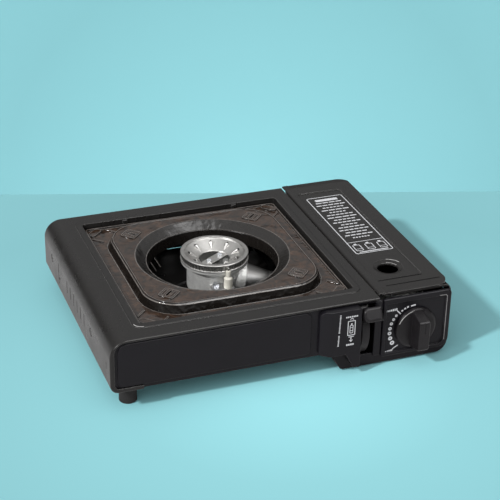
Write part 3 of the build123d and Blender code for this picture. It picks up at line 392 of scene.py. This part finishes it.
def blasted(name, colour, roughness, grain_depth, metallic=1.0):
    """Die-cast aluminium as it leaves the mould: fine pits, grey clouds and bright edges."""
    material, tree, shader = new_surface(name, Metallic=metallic)
    cloudy_share = 0.72
    grain = placed(tree, coat_grain, scale=2400.0)
    edges = placed(tree, edge_wear_and_highlight, radius=0.0006, amount=0.8)
    touched = placed(tree, handling, scale=70.0)
    base = mixed(tree, touched["Smudge"], toned(colour, cloudy_share), colour)
    base = mixed(tree, edges["Mask"], base, bright_edge)
    tree.links.new(base, shader["Base Color"])
    gloss = remapped(tree, touched["Smudge"], (0.0, 1.0), (roughness + 0.08, roughness - 0.05))
    tree.links.new(gloss, shader["Roughness"])
    normal = bumped(tree, grain["Height"], 0.8, grain_depth, edges["Normal"])
    tree.links.new(normal, shader["Normal"])
    return material


# The finish of each material slot in the record
surfaces = {
    "satin_black": painted("satin_black", (0.015, 0.014, 0.0135, 1), (0.24, 0.235, 0.23, 1),
                           roughness=0.30, shine=0.37, wear_and_highlight=0.7),
    "panel_charcoal": painted("panel_charcoal", (0.0085, 0.0078, 0.0105, 1),
                              (0.13, 0.127, 0.135, 1), roughness=0.33, shine=0.22, wear_and_highlight=0.6),
    "enamel": enamelled("enamel"),
    "zinc_sheet": bright_metal("zinc_sheet", (0.60, 0.60, 0.60, 1), (0.40, 0.40, 0.41, 1),
                               roughness=0.36, grain_depth=0.00006),
    # The tube carries painted shade on the faces that look up.
    "zinc_tube": bright_metal("zinc_tube", (0.85, 0.85, 0.84, 1), (0.62, 0.62, 0.62, 1),
                              roughness=0.34, grain_depth=0.00005, top_shade=0.85),
    "cast_aluminium": blasted("cast_aluminium", (0.80, 0.80, 0.78, 1), roughness=0.50,
                              grain_depth=0.0002, metallic=0.55),
    "machined_aluminium": blasted("machined_aluminium", (0.60, 0.59, 0.57, 1), roughness=0.36,
                                  grain_depth=0.00012),
    "zinc_screw": bright_metal("zinc_screw", (0.80, 0.82, 0.84, 1), (0.58, 0.60, 0.64, 1),
                               roughness=0.24, grain_depth=0.00003),
    "steel_wire": bright_metal("steel_wire", (0.66, 0.65, 0.63, 1), (0.45, 0.44, 0.43, 1),
                               roughness=0.30, grain_depth=0.00003),
    "spring_steel": bright_metal("spring_steel", (0.36, 0.36, 0.38, 1), (0.20, 0.20, 0.24, 1),
                                 roughness=0.30, grain_depth=0.00003),
    "ceramic": moulded("ceramic", (0.62, 0.60, 0.53, 1), roughness=0.22, grain_depth=0.00004,
                       grain_scale=900.0),
    "brass": bright_metal("brass", (0.78, 0.58, 0.27, 1), (0.55, 0.38, 0.16, 1),
                          roughness=0.28, grain_depth=0.00003),
    "lead_sleeve": moulded("lead_sleeve", (0.05, 0.049, 0.047, 1), roughness=0.5,
                           grain_depth=0.00005),
    "rubber": moulded("rubber", (0.018, 0.018, 0.018, 1), roughness=0.62, grain_depth=0.0002,
                      grain_scale=1300.0),
    "black_plastic": moulded("black_plastic", (0.010, 0.009, 0.010, 1), roughness=0.30),
}


def dress(name, material):
    """Gives the material to the node through its object's own slots."""
    for slot in nodes[name].material_slots:
        slot.link = "OBJECT"
        slot.material = material


for part in frame["record"]["subparts"]:
    dress(part["node"], surfaces[part["material_slot"]])
dress("case_screws", surfaces["satin_black"])
# Painted shade: the tub takes the darker panel paint so its strip below the knob panel reads as
# shaded.
dress("cartridge_tub", surfaces["panel_charcoal"])


# Inks and worn finishes of the marks


def highlight_enamel():
    """Painted highlight for the pan's pressed edges: enamel greyer and paler than the rest, and
    nearly as glossy.
    """
    material, tree, shader = new_surface("highlight_enamel", Specular_IOR_Level=0.72, Roughness=0.16)
    darker, paler, wave_depth = (0.10, 0.09, 0.082, 1), (0.24, 0.22, 0.205, 1), 0.0012
    flow = placed(tree, enamel_flow, scale=90.0)
    tree.links.new(mixed(tree, flow["Cloud"], darker, paler), shader["Base Color"])
    tree.links.new(bumped(tree, flow["Height"], 0.4, wave_depth), shader["Normal"])
    return material


def painted_highlight(name, edge_highlight, pale_edge_highlight):
    """Painted highlight along an edge: pale glossy paint in patches between two colours."""
    material, tree, shader = new_surface(name, Specular_IOR_Level=0.6, Roughness=0.25)
    patchy = noise(tree, object_coordinates(tree), 420.0, 3.0, 0.6)
    tree.links.new(mixed(tree, patchy, edge_highlight, pale_edge_highlight), shader["Base Color"])
    return material


def step_shade_paint():
    """Painted shade along an edge of the lid: dull and dark, a little lighter in patches."""
    material, tree, shader = new_surface("step_shade_paint", Specular_IOR_Level=0.12, Roughness=0.6)
    black, lighter_shade = (0.004, 0.004, 0.004, 1), (0.016, 0.015, 0.014, 1)
    patches = noise(tree, object_coordinates(tree), 260.0, 3.0, 0.6)
    lighter_patches = remapped(tree, patches, (0.45, 0.75), (0.0, 1.0))
    tree.links.new(mixed(tree, lighter_patches, black, lighter_shade), shader["Base Color"])
    return material


def screen_ink():
    """White screen ink: slightly uneven cover with pinholes where the paint shows."""
    material, tree, shader = new_surface("screen_ink", Specular_IOR_Level=0.4)
    white, whiter, pinhole = (0.66, 0.67, 0.70, 1), (0.80, 0.81, 0.83, 1), (0.30, 0.30, 0.31, 1)
    ink_relief = 0.00003
    place = object_coordinates(tree)
    cover = remapped(tree, noise(tree, place, 2600.0, 3.0, 0.7), (0.30, 0.42), (0.0, 1.0))
    tone = mixed(tree, noise(tree, place, 300.0, 2.0), white, whiter)
    tree.links.new(mixed(tree, cover, pinhole, tone), shader["Base Color"])
    tree.links.new(remapped(tree, cover, (0.0, 1.0), (0.6, 0.42)), shader["Roughness"])
    tree.links.new(bumped(tree, cover, 0.3, ink_relief), shader["Normal"])
    return material


ink = screen_ink()
# Painted highlight paints: a dim one and a bright one.
dim_highlight = painted_highlight("painted_highlight", (0.10, 0.098, 0.10, 1), (0.36, 0.35, 0.35, 1))
bright_highlight = painted_highlight("bright_highlight_paint", (0.26, 0.255, 0.25, 1), (0.78, 0.77, 0.76, 1))
step_shade = step_shade_paint()
crease_highlight = highlight_enamel()


# Formed pieces that the plain solids leave out


def formed(name, points, faces, body, material, thickness=None):
    """Piece from points in millimetres; a thickness gives its faces a wall on their inner
    side."""
    mesh = bpy.data.meshes.new(name)
    mesh.from_pydata((np.asarray(points, float) * mm).tolist(), [], faces)
    mesh.materials.append(material)
    piece = bpy.data.objects.new(name, mesh)
    bpy.context.scene.collection.objects.link(piece)
    if thickness is not None:
        wall = piece.modifiers.new("wall", "SOLIDIFY")
        wall.thickness = thickness * mm
        wall.offset = -1.0
    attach(piece, body)


def quads_between(count):
    """Quads from a closed line of points to the next line of as many: each point, the one
    after it, and the same two on the next line, the last point followed by the first."""
    first = np.arange(count)
    after = (first + 1) % count
    return np.stack([first, after, after + count, first + count], axis=1).tolist()


def swept(profile, start, end):
    """Closed profile in Y and Z carried along X: the profile at the start, the profile at the
    end, quads between them and one face to shut either end."""
    profile = np.asarray(profile, float)
    count = len(profile)
    ends = [np.column_stack([np.full(count, x), profile]) for x in (start, end)]
    shut = [list(range(count))[::-1], list(range(count, 2 * count))]
    return np.concatenate(ends), quads_between(count) + shut


def lid_lip():
    """Lip that closes the lid's front over the knob panel, its lower front edge bevelled."""
    top, low, bevel, depth = 76.5, 73.9, (0.3, 0.4), 0.9
    profile = [(lid_front_y, top), (lid_front_y, low + bevel[1]), (lid_front_y + bevel[0], low),
               (lid_front_y + depth, low), (lid_front_y + depth, top)]
    return swept(profile, *lid_front_ends)


def cap_hole_shade_discs():
    """Painted shade in each lighting hole: a dark disc on the slope of the dish. A point lies out
    from the burner's axis by the ring's radius plus the disc's radius times the cosine of its
    turn, and aside by the disc's radius times the sine; its height is the dish's height at
    that distance plus a fixed rise."""
    hole_count, ring_radius, disc_radius, rise = 9, 25.4, 1.15, 1.1
    dish_inner, dish_low, dish_slope = 15.5, 74.4, 7.2 / 14.3
    angle = np.radians(np.arange(hole_count) * 360.0 / hole_count)[:, None]
    turn = np.radians(np.arange(0, 360, 24))[None, :]
    reach = ring_radius + disc_radius * np.cos(turn)
    side = disc_radius * np.sin(turn)
    x = burner_centre[0] + reach * np.cos(angle) - side * np.sin(angle)
    y = burner_centre[1] + reach * np.sin(angle) + side * np.cos(angle)
    z = np.broadcast_to(dish_low + dish_slope * (reach - dish_inner) + rise, x.shape)
    points = np.stack([x, y, z], axis=-1).reshape(-1, 3)
    return points, np.arange(len(points)).reshape(hole_count, -1).tolist()


formed("lid_lip", *lid_lip(), "lid", surfaces["satin_black"])
# Painted shade: dark discs in the lighting holes.
formed("cap_hole_shade_discs", *cap_hole_shade_discs(), "stove_body", surfaces["rubber"], 0.3)


# Flat shapes: points in two directions of a panel, right and up as it is read, and faces


def strip(points, width):
    """Quads along a line; each point goes half the width to either side, square to the
    mean direction of the runs that meet there."""
    line = np.asarray(points, float)
    runs = np.diff(line, axis=0)
    runs /= np.linalg.norm(runs, axis=1, keepdims=True)
    along = np.vstack([runs[:1], runs[:-1] + runs[1:], runs[-1:]])
    along /= np.linalg.norm(along, axis=1, keepdims=True)
    side = np.stack([-along[:, 1], along[:, 0]], axis=1) * width / 2
    count = len(line)
    first = np.arange(count - 1)
    quads = np.stack([first, first + count, first + count + 1, first + 1], axis=1)
    return np.concatenate([line + side, line - side]), quads.tolist()


def arc(centre, radius, start, end, count):
    """Points at a radius from a centre, their angles evenly spaced between two in degrees."""
    turn = np.radians(np.linspace(start, end, count))
    x, y = centre[0] + radius * np.cos(turn), centre[1] + radius * np.sin(turn)
    return np.stack([x, y], axis=1)


def rounded_loop(low, high, radius, steps=6):
    """Rectangle with round corners: each corner's centre plus a quarter of a circle."""
    left, bottom = np.asarray(low) + radius
    right, top = np.asarray(high) - radius
    corners = ((right, top, 0), (left, top, 90), (left, bottom, 180), (right, bottom, 270))
    return np.concatenate([arc((x, y), radius, start, start + 90, steps)
                           for x, y, start in corners])


def filled(loop):
    """One face inside a closed line."""
    return loop, [list(range(len(loop)))]


def band(outer, inner):
    """Quads between two closed lines of the same number of points."""
    return np.concatenate([outer, inner]), quads_between(len(outer))


def frame_line(low, high, radius, width):
    """Line of even width round a rectangle with round corners."""
    low, high = np.asarray(low, float), np.asarray(high, float)
    inner = rounded_loop(low + width, high - width, radius - width)
    return band(rounded_loop(low, high, radius), inner)


def bar(low, high, radius=0.3):
    """Filled rectangle with round corners."""
    return filled(rounded_loop(low, high, radius, 4))


def small_circle(centre, radius):
    """Closed line of 24 points round a centre, one every 15 degrees."""
    return arc(centre, radius, 0, 345, 24)


def spot(centre, radius):
    """Filled circle."""
    return filled(small_circle(centre, radius))


def ring_spot(centre, outer, inner):
    """Circle with a round hole."""
    return band(small_circle(centre, outer), small_circle(centre, inner))


def level_bars(left, low, count, pitch, width, heights):
    """Upright bars side by side whose heights run evenly from the first to the last."""
    tops = low + np.linspace(heights[0], heights[1], count)
    starts = left + pitch * np.arange(count)
    return [bar((start, low), (start + width, top), 0.2) for start, top in zip(starts, tops)]


# Faces of the stove that carry flat shapes

ink_lift, ink_depth = 0.06, 0.1


def on_front(y):
    """To a face that looks to the front: right is X and up is Z, lifted off the face."""
    return lambda flat: np.column_stack([flat[:, 0], np.full(len(flat), y - ink_lift), flat[:, 1]])


def on_top(z):
    """To a face that looks up: right is X and up is Y, lifted off the face."""
    return lambda flat: np.column_stack([flat, np.full(len(flat), z + ink_lift)])


def in_left_wall(x):
    """To a plane that looks to the left: right is the front, minus Y, and up is Z."""
    return lambda flat: np.column_stack([np.full(len(flat), x), -flat[:, 0], flat[:, 1]])


def printed(name, shapes, place, body, material):
    """One thin layer from flat shapes in millimetres, put on its panel by place."""
    points, faces, count = [], [], 0
    for loop, polygons in shapes:
        points.append(loop)
        faces += [[count + corner for corner in polygon] for polygon in polygons]
        count += len(loop)
    formed(name, place(np.concatenate(points)), faces, body, material, ink_depth)


# Marks in white ink


def knob_marks():
    """Scale round the knob: growing spots down the left, dashes up to a bar at rest."""
    shapes = []
    angles = np.array([143.7, 154.0, 164.8, 176.4, 187.8, 200.2, 212.7])
    radii = np.linspace(25.7, 27.6, len(angles))
    sizes = np.linspace(1.35, 2.35, len(angles))
    hole_share, middle_share = 0.42, 0.2
    for angle, radius, size in zip(np.radians(angles), radii, sizes):
        centre = knob_centre + radius * np.array([math.cos(angle), math.sin(angle)])
        shapes.append(ring_spot(centre, size, hole_share * size))
        shapes.append(spot(centre, middle_share * size))
    for angle in (126.4, 118.4, 110.9):
        shapes.append(strip(arc(knob_centre, 24.5, angle - 2.4, angle + 2.4, 5), 1.7))
    shapes.append(strip(arc(knob_centre, 23.9, 103.0, 91.0, 6), 1.6))
    shapes.append(strip([(115.4, 58.3), (119.5, 54.0)], 1.0))
    shapes.append(strip([(118.7, 18.9), (113.3, 15.9), (112.4, 13.4)], 0.9))
    shapes += level_bars(103.2, 58.6, 7, 1.85, 1.15, (1.5, 2.6))
    shapes += level_bars(105.2, 12.6, 4, 1.9, 1.2, (1.8, 2.4))
    return shapes


def lever_marks():
    """Ruled scale beside a sign of a cartridge between an up and a down arrow."""
    shapes = []
    tick_pitch, tick_height, scale_low, scale_lean = 1.35, 0.8, 36.0, 0.04
    for start, end in ((50.4, 69.8), (scale_low, 47.6)):
        for row, z in enumerate(np.arange(start, end, tick_pitch)):
            half = (1.25 if row % 4 else 1.6) / 2
            x = 49.75 + (z - scale_low) * scale_lean
            shapes.append(bar((x - half, z), (x + half, z + tick_height), 0.15))
    shapes += level_bars(56.7, 65.8, 3, 1.9, 1.3, (1.6, 1.6))
    shapes += level_bars(62.7, 65.8, 4, 1.7, 1.2, (1.6, 1.6))
    shapes.append(strip([(61.2, 63.4), (62.9, 65.1), (64.6, 63.4)], 0.7))
    shapes.append(frame_line((58.8, 46.0), (66.9, 62.3), 0.9, 0.75))
    shapes.append(frame_line((61.0, 48.4), (64.7, 57.4), 0.9, 0.6))
    shapes.append(bar((62.1, 57.8), (63.6, 59.2)))
    shapes.append(strip([(61.3, 51.2), (64.4, 51.2)], 0.5))
    shapes.append(strip([(61.3, 54.6), (64.4, 54.6)], 0.5))
    shapes.append(strip([(60.1, 44.5), (65.7, 44.5)], 0.7))
    shapes.append(strip([(62.8, 44.2), (62.8, 39.4)], 0.8))
    shapes.append(strip([(61.2, 41.0), (62.8, 39.0), (64.4, 41.0)], 0.8))
    shapes += level_bars(58.2, 34.9, 4, 2.1, 1.5, (1.9, 1.9))
    return shapes


def lid_marks():
    """Framed panel: heading bar, ruled rows, a divider and signs of cartridges below it."""
    left, right, front, back = 109.6, 151.4, -33.2, 104.0
    frame_width, margin, row_height, gap = 0.95, 3.0, 1.9, 0.5
    middle = (left + right) / 2
    shapes = [frame_line((left, front), (right, back), 2.6, frame_width)]
    shapes.append(strip([(left + 0.9, -7.5), (right - 0.9, -7.5)], 0.8))
    shapes.append(bar((middle - 13, 93.5), (middle + 13, 98.5), 1.0))
    rows = np.linspace(88.5, 1.0, 15)
    shares = np.tile([0.86, 0.95, 0.7, 0.9, 0.55], 3)
    for row, (y, share) in enumerate(zip(rows, shares)):
        half = share * (right - left - 2 * margin) / 2
        breaks = np.linspace(middle - half, middle + half, 5 + row % 3)
        for start, end in zip(breaks[:-1], breaks[1:]):
            shapes.append(bar((start + gap, y), (end - gap, y + row_height), 0.5))
    for x in (middle - 13.5, middle, middle + 13.5):
        shapes.append(frame_line((x - 4.2, -27.0), (x + 4.2, -14.0), 1.6, 0.8))
        shapes.append(bar((x - 1.5, -13.6), (x + 1.5, -11.2), 0.5))
        shapes.append(strip([(x - 4.0, -23.0), (x + 4.0, -23.0)], 0.6))
    shapes.append(bar((middle - 16, -30.9), (middle + 16, -29.3), 0.5))
    return shapes


printed("knob_scale", knob_marks(), on_front(knob_panel_y), "stove_body", ink)
printed("lever_scale", lever_marks(), on_front(lever_cover_y), "stove_body", ink)
printed("lid_print", lid_marks(), on_top(lid_field_z), "lid", ink)


# Painted shade in gaps and along the lid's edges, and painted highlights along edges


def vent_shade_plates():
    """Dark plates of painted shade in the openings of the left wall: a row of six vents at an
    even pitch, a tab slot of two bars and a small slot."""
    vent_half, vent_low, vent_high, vent_pitch = 1.2, 42.1, 55.9, 13.8
    middles = -43.0 + vent_pitch * np.arange(6)
    shapes = [bar((middle - vent_half, vent_low), (middle + vent_half, vent_high), 1.1)
              for middle in middles]
    shapes.append(bar((-80.45, 35.05), (-78.05, 58.45), 0.2))
    shapes.append(bar((-78.05, 41.05), (-73.55, 43.45), 0.2))
    shapes.append(bar((107.15, 42.05), (108.85, 49.95), 0.7))
    return shapes


# Painted shade: dark plates just inside the left wall's openings.
printed("vent_shade_plates", vent_shade_plates(), in_left_wall(vent_shade_x), "stove_body", surfaces["rubber"])

frame_edge = [(168.3, 17.0), (168.3, 66.5), (166.8, 68.2), (160.0, 68.4)]
dial_edge = arc(knob_centre, 20.4, 100.0, 158.0, 14)
rim_edge = arc(rim_corner, 7.9, 190.0, 272.0, 10)
dish_edge = arc(finger_hole, 16.0, 20.0, 72.0, 8)
hole_edge = arc(finger_hole, 11.25, 15.0, 75.0, 8)
bevel_start = [(109.0, -105.0), (167.0, -105.0)]
field_front = [(106.0, -93.6), (153.0, -93.6)]

# Thin painted lines: highlights along edges, and shade along two edges of the lid.
# The points, width, place, body and finish of each line
lines = {
    "knob_frame_highlight": (frame_edge, 0.8, on_front(front_lip_y), "stove_body", dim_highlight),
    "dial_highlight": (dial_edge, 0.8, on_front(dial_y), "knob", bright_highlight),
    "rim_highlight": (rim_edge, 0.9, on_top(rim_top_z), "stove_body", bright_highlight),
    # Painted shade along two edges of the lid.
    "lid_step_shade": (bevel_start, 1.7, on_top(lid_top_z), "lid", step_shade),
    "lid_field_step_shade": (field_front, 1.8, on_top(lid_top_z), "lid", step_shade),
    "finger_rim_highlight": (dish_edge, 0.8, on_top(lid_field_z), "lid", bright_highlight),
    "finger_edge_highlight": (hole_edge, 0.6, on_top(finger_dish_z), "lid", bright_highlight),
}
for name, (points, width, place, body, material) in lines.items():
    printed(name, [strip(points, width)], place, body, material)


# Painted highlight lines along the pan support's pressed edges


def turned_round(shape, angle=0.0, reach=0.0, across=0.0):
    """Flat shape moved out from the pan's centre along an angle and turned with it."""
    loop, polygons = shape
    turn = math.radians(angle)
    x, y = loop[:, 0] + reach, loop[:, 1] + across
    right = x * math.cos(turn) - y * math.sin(turn)
    up = x * math.sin(turn) + y * math.cos(turn)
    return np.stack([right, up], axis=1) + pan_centre, polygons


def outline_of(length, width, radius, line=0.5):
    """Line round a rectangle about the origin."""
    return frame_line((-length / 2, -width / 2), (length / 2, width / 2), radius, line)


def ring_line(radius, line):
    """Line round a circle about the origin: the circle and the same points drawn inwards."""
    turn = arc((0, 0), radius, 0, 357.5, 144)
    return band(turn, turn * (1 - line / radius))


def pan_highlight_lines():
    """Painted highlight lines where the pressed edges stand out, by the height they lie at: the
    funnel's mouth and throat, the plateau's bead, the stamped pads and slots, lugs and ribs at
    each prong, the flange's edge, and the plateau's foot with the line inside the flange's edge."""
    throat_z, bead_z, pad_z = plateau_z - 6.3, plateau_z + 0.5, plateau_z + 0.8
    foot_z, rib_z, lug_z, edge_z = flange_z + 1.0, flange_z + 1.8, flange_z + 2.2, flange_z + 2.6
    mouth_radius, throat_radius, lug_radius, rib_radius = funnel_radius + 0.4, 67.3, 137.5, 126.0
    slot_offsets, rib_offsets = (-4.7, 0.0, 4.7), (-13.0, 13.0)
    at_level = {
        plateau_z: [turned_round(ring_line(mouth_radius, 0.6))],
        throat_z: [turned_round(ring_line(throat_radius, 0.5))],
        bead_z: [turned_round(outline_of(176.6, 176.6, 34.6))],
        pad_z: [], lug_z: [], rib_z: [],
        edge_z: [turned_round(outline_of(211.2, 212.2, 4.6, 0.8))],
        foot_z: [turned_round(outline_of(188.2, 188.2, 40.1, 0.7)),
                 turned_round(outline_of(208.0, 209.0, 3.8))],
    }
    pad, slot = outline_of(16.4, 16.4, 2.3), outline_of(12.2, 3.2, 1.4, 0.4)
    lug, rib = outline_of(8.4, 17.4, 3.8), outline_of(13.4, 1.9, 0.9, 0.4)
    for angle in prong_angles:
        at_level[pad_z].append(turned_round(pad, angle, pad_radius))
        for across in slot_offsets:
            at_level[pad_z].append(turned_round(slot, angle, pad_radius, across))
        at_level[lug_z].append(turned_round(lug, angle, lug_radius))
        for across in rib_offsets:
            at_level[rib_z].append(turned_round(rib, angle, rib_radius, across))
    return at_level


# Painted highlight lines on the pan, one layer for each height.
for number, (level, shapes) in enumerate(pan_highlight_lines().items(), 1):
    printed("pan_highlight_%d" % number, shapes, on_top(level), "pan", crease_highlight)


# Stage

floor_colour = (0.390, 0.850, 0.915, 1.0)
wall_colour = (0.385, 0.860, 0.935, 1.0)
pale_grey = (0.60, 0.62, 0.62, 1.0)
white_table = (0.72, 0.72, 0.72, 1.0)
wall_foot = (Vector((-0.1645, 0.3819, 0.0)), Vector((0.4010, 0.2061, 0.0)))
wall_height, stage_reach = 2.5, 4.0
# Painted pool of light on the floor: its centre, and how it fades with distance.
floor_light_pool = Vector((0.005, -0.115, 0.0))
floor_fade = ((0.0, 0.0), (0.05, 0.02), (0.17, 0.19), (0.40, 0.33))
wall_fade = ((0.02, 0.0), (0.30, 0.27))


def stage_sheet(name, corners, colour, light_pool_centre, fade, see_through):
    """Flat matt sheet with a painted pool of light, dimmer away from its centre: fade pairs a
    distance with a share of black. A see-through sheet is there only for the camera, and only from
    its front."""
    black = (0.0, 0.0, 0.0, 1.0)
    mesh = bpy.data.meshes.new(name)
    mesh.from_pydata([tuple(corner) for corner in corners], [], [(0, 1, 2, 3)])
    sheet = bpy.data.objects.new(name, mesh)
    bpy.context.scene.collection.objects.link(sheet)
    material = bpy.data.materials.new(name)
    material.use_nodes = True
    tree = material.node_tree
    tree.nodes.clear()
    path = add(tree, "ShaderNodeLightPath").outputs
    # Painted pool of light: the colour fades to black away from its centre.
    away = vector_maths(tree, "DISTANCE", object_coordinates(tree), light_pool_centre)
    seen = mixed(tree, stepped(tree, away, fade), colour, black)
    bounce = mixed(tree, path["Is Glossy Ray"], pale_grey, white_table)
    shown = mixed(tree, path["Is Camera Ray"], bounce, seen)
    surface = add(tree, "ShaderNodeBsdfDiffuse", {"Color": shown}).outputs[0]
    if see_through:
        back = add(tree, "ShaderNodeNewGeometry").outputs["Backfacing"]
        unseen = maths(tree, "SUBTRACT", 1.0, path["Is Camera Ray"])
        clear = add(tree, "ShaderNodeBsdfTransparent").outputs[0]
        inputs = {0: maths(tree, "MAXIMUM", back, unseen), 1: surface, 2: clear}
        surface = add(tree, "ShaderNodeMixShader", inputs).outputs[0]
    add(tree, "ShaderNodeOutputMaterial", {"Surface": surface})
    mesh.materials.append(material)


def make_stage():
    """Wide floor, and a backdrop that runs on past both ends of its foot line, each with a painted
    pool of light.
    """
    square = ((-1, -1, 0), (1, -1, 0), (1, 1, 0), (-1, 1, 0))
    floor = [stage_reach * Vector(corner) for corner in square]
    stage_sheet("floor", floor, floor_colour, floor_light_pool, floor_fade, False)
    left, right = wall_foot
    along = (right - left).normalized()
    low_left = left - along * stage_reach
    low_right = left + along * stage_reach
    up = Vector((0, 0, wall_height))
    wall = [low_left, low_right, low_right + up, low_left + up]
    stage_sheet("backdrop", wall, wall_colour, (left + right) / 2, wall_fade, True)


# Light

key_direction = Vector((1.15, 0.39, -1.0))
key_strength = 1.9
key_angle = math.radians(4.5)
room_levels = ((0.0, 0.04), (0.22, 0.07), (0.42, 0.42), (0.54, 0.56), (1.0, 0.70))
ceiling_direction, ceiling_edge, ceiling_strength = Vector((0.30, -0.46, 0.83)), (0.87, 0.93), 4.2
soft_direction, soft_strength, soft_least = Vector((-0.46, -0.52, 0.72)), 1.30, 0.16


def make_key():
    """Small hard lamp from the upper left, a little to the front."""
    lamp = bpy.data.lights.new("key", "SUN")
    lamp.energy = key_strength
    lamp.angle = key_angle
    key = bpy.data.objects.new("key", lamp)
    key.rotation_mode = "QUATERNION"
    key.rotation_quaternion = key_direction.to_track_quat("-Z", "Y")
    bpy.context.scene.collection.objects.link(key)


def make_room():
    """Soft room. Matt faces see a wide glow from the upper left of the front, as the square of
    how far a ray points to it, over an even least level. Shiny faces see a dark horizon, a
    pale ceiling and a lamp on it, and the camera sees the wall's colour."""
    world = bpy.data.worlds.new("sky")
    bpy.context.scene.world = world
    world.use_nodes = True
    tree = world.node_tree
    tree.nodes.clear()
    away = add(tree, "ShaderNodeTexCoord").outputs["Generated"]
    height = add(tree, "ShaderNodeSeparateXYZ", {0: away}).outputs["Z"]
    to_lamp = vector_maths(tree, "DOT_PRODUCT", away, ceiling_direction.normalized())
    lamp = remapped(tree, to_lamp, ceiling_edge, (0.0, ceiling_strength))
    mirrored = maths(tree, "ADD", stepped(tree, height, room_levels), lamp)
    to_glow = vector_maths(tree, "DOT_PRODUCT", away, soft_direction.normalized())
    to_glow = maths(tree, "MAXIMUM", to_glow, 0.0)
    glow = maths(tree, "MULTIPLY", to_glow, to_glow)
    soft = maths(tree, "MULTIPLY_ADD", glow, soft_strength, soft_least)
    path = add(tree, "ShaderNodeLightPath").outputs
    shine = maths(tree, "MULTIPLY", path["Is Glossy Ray"], mirrored)
    matt = maths(tree, "SUBTRACT", 1.0, path["Is Glossy Ray"])
    level = maths(tree, "MULTIPLY_ADD", matt, soft, shine)
    white = {"Color": (1, 1, 1, 1), "Strength": level}
    even = add(tree, "ShaderNodeBackground", white).outputs[0]
    seen = add(tree, "ShaderNodeBackground", {"Color": wall_colour, "Strength": 1.0}).outputs[0]
    shown = {0: path["Is Camera Ray"], 1: even, 2: seen}
    surface = add(tree, "ShaderNodeMixShader", shown).outputs[0]
    add(tree, "ShaderNodeOutputWorld", {"Surface": surface})


make_camera()
make_stage()
make_key()
make_room()
bpy.context.scene.view_settings.view_transform = "Standard"
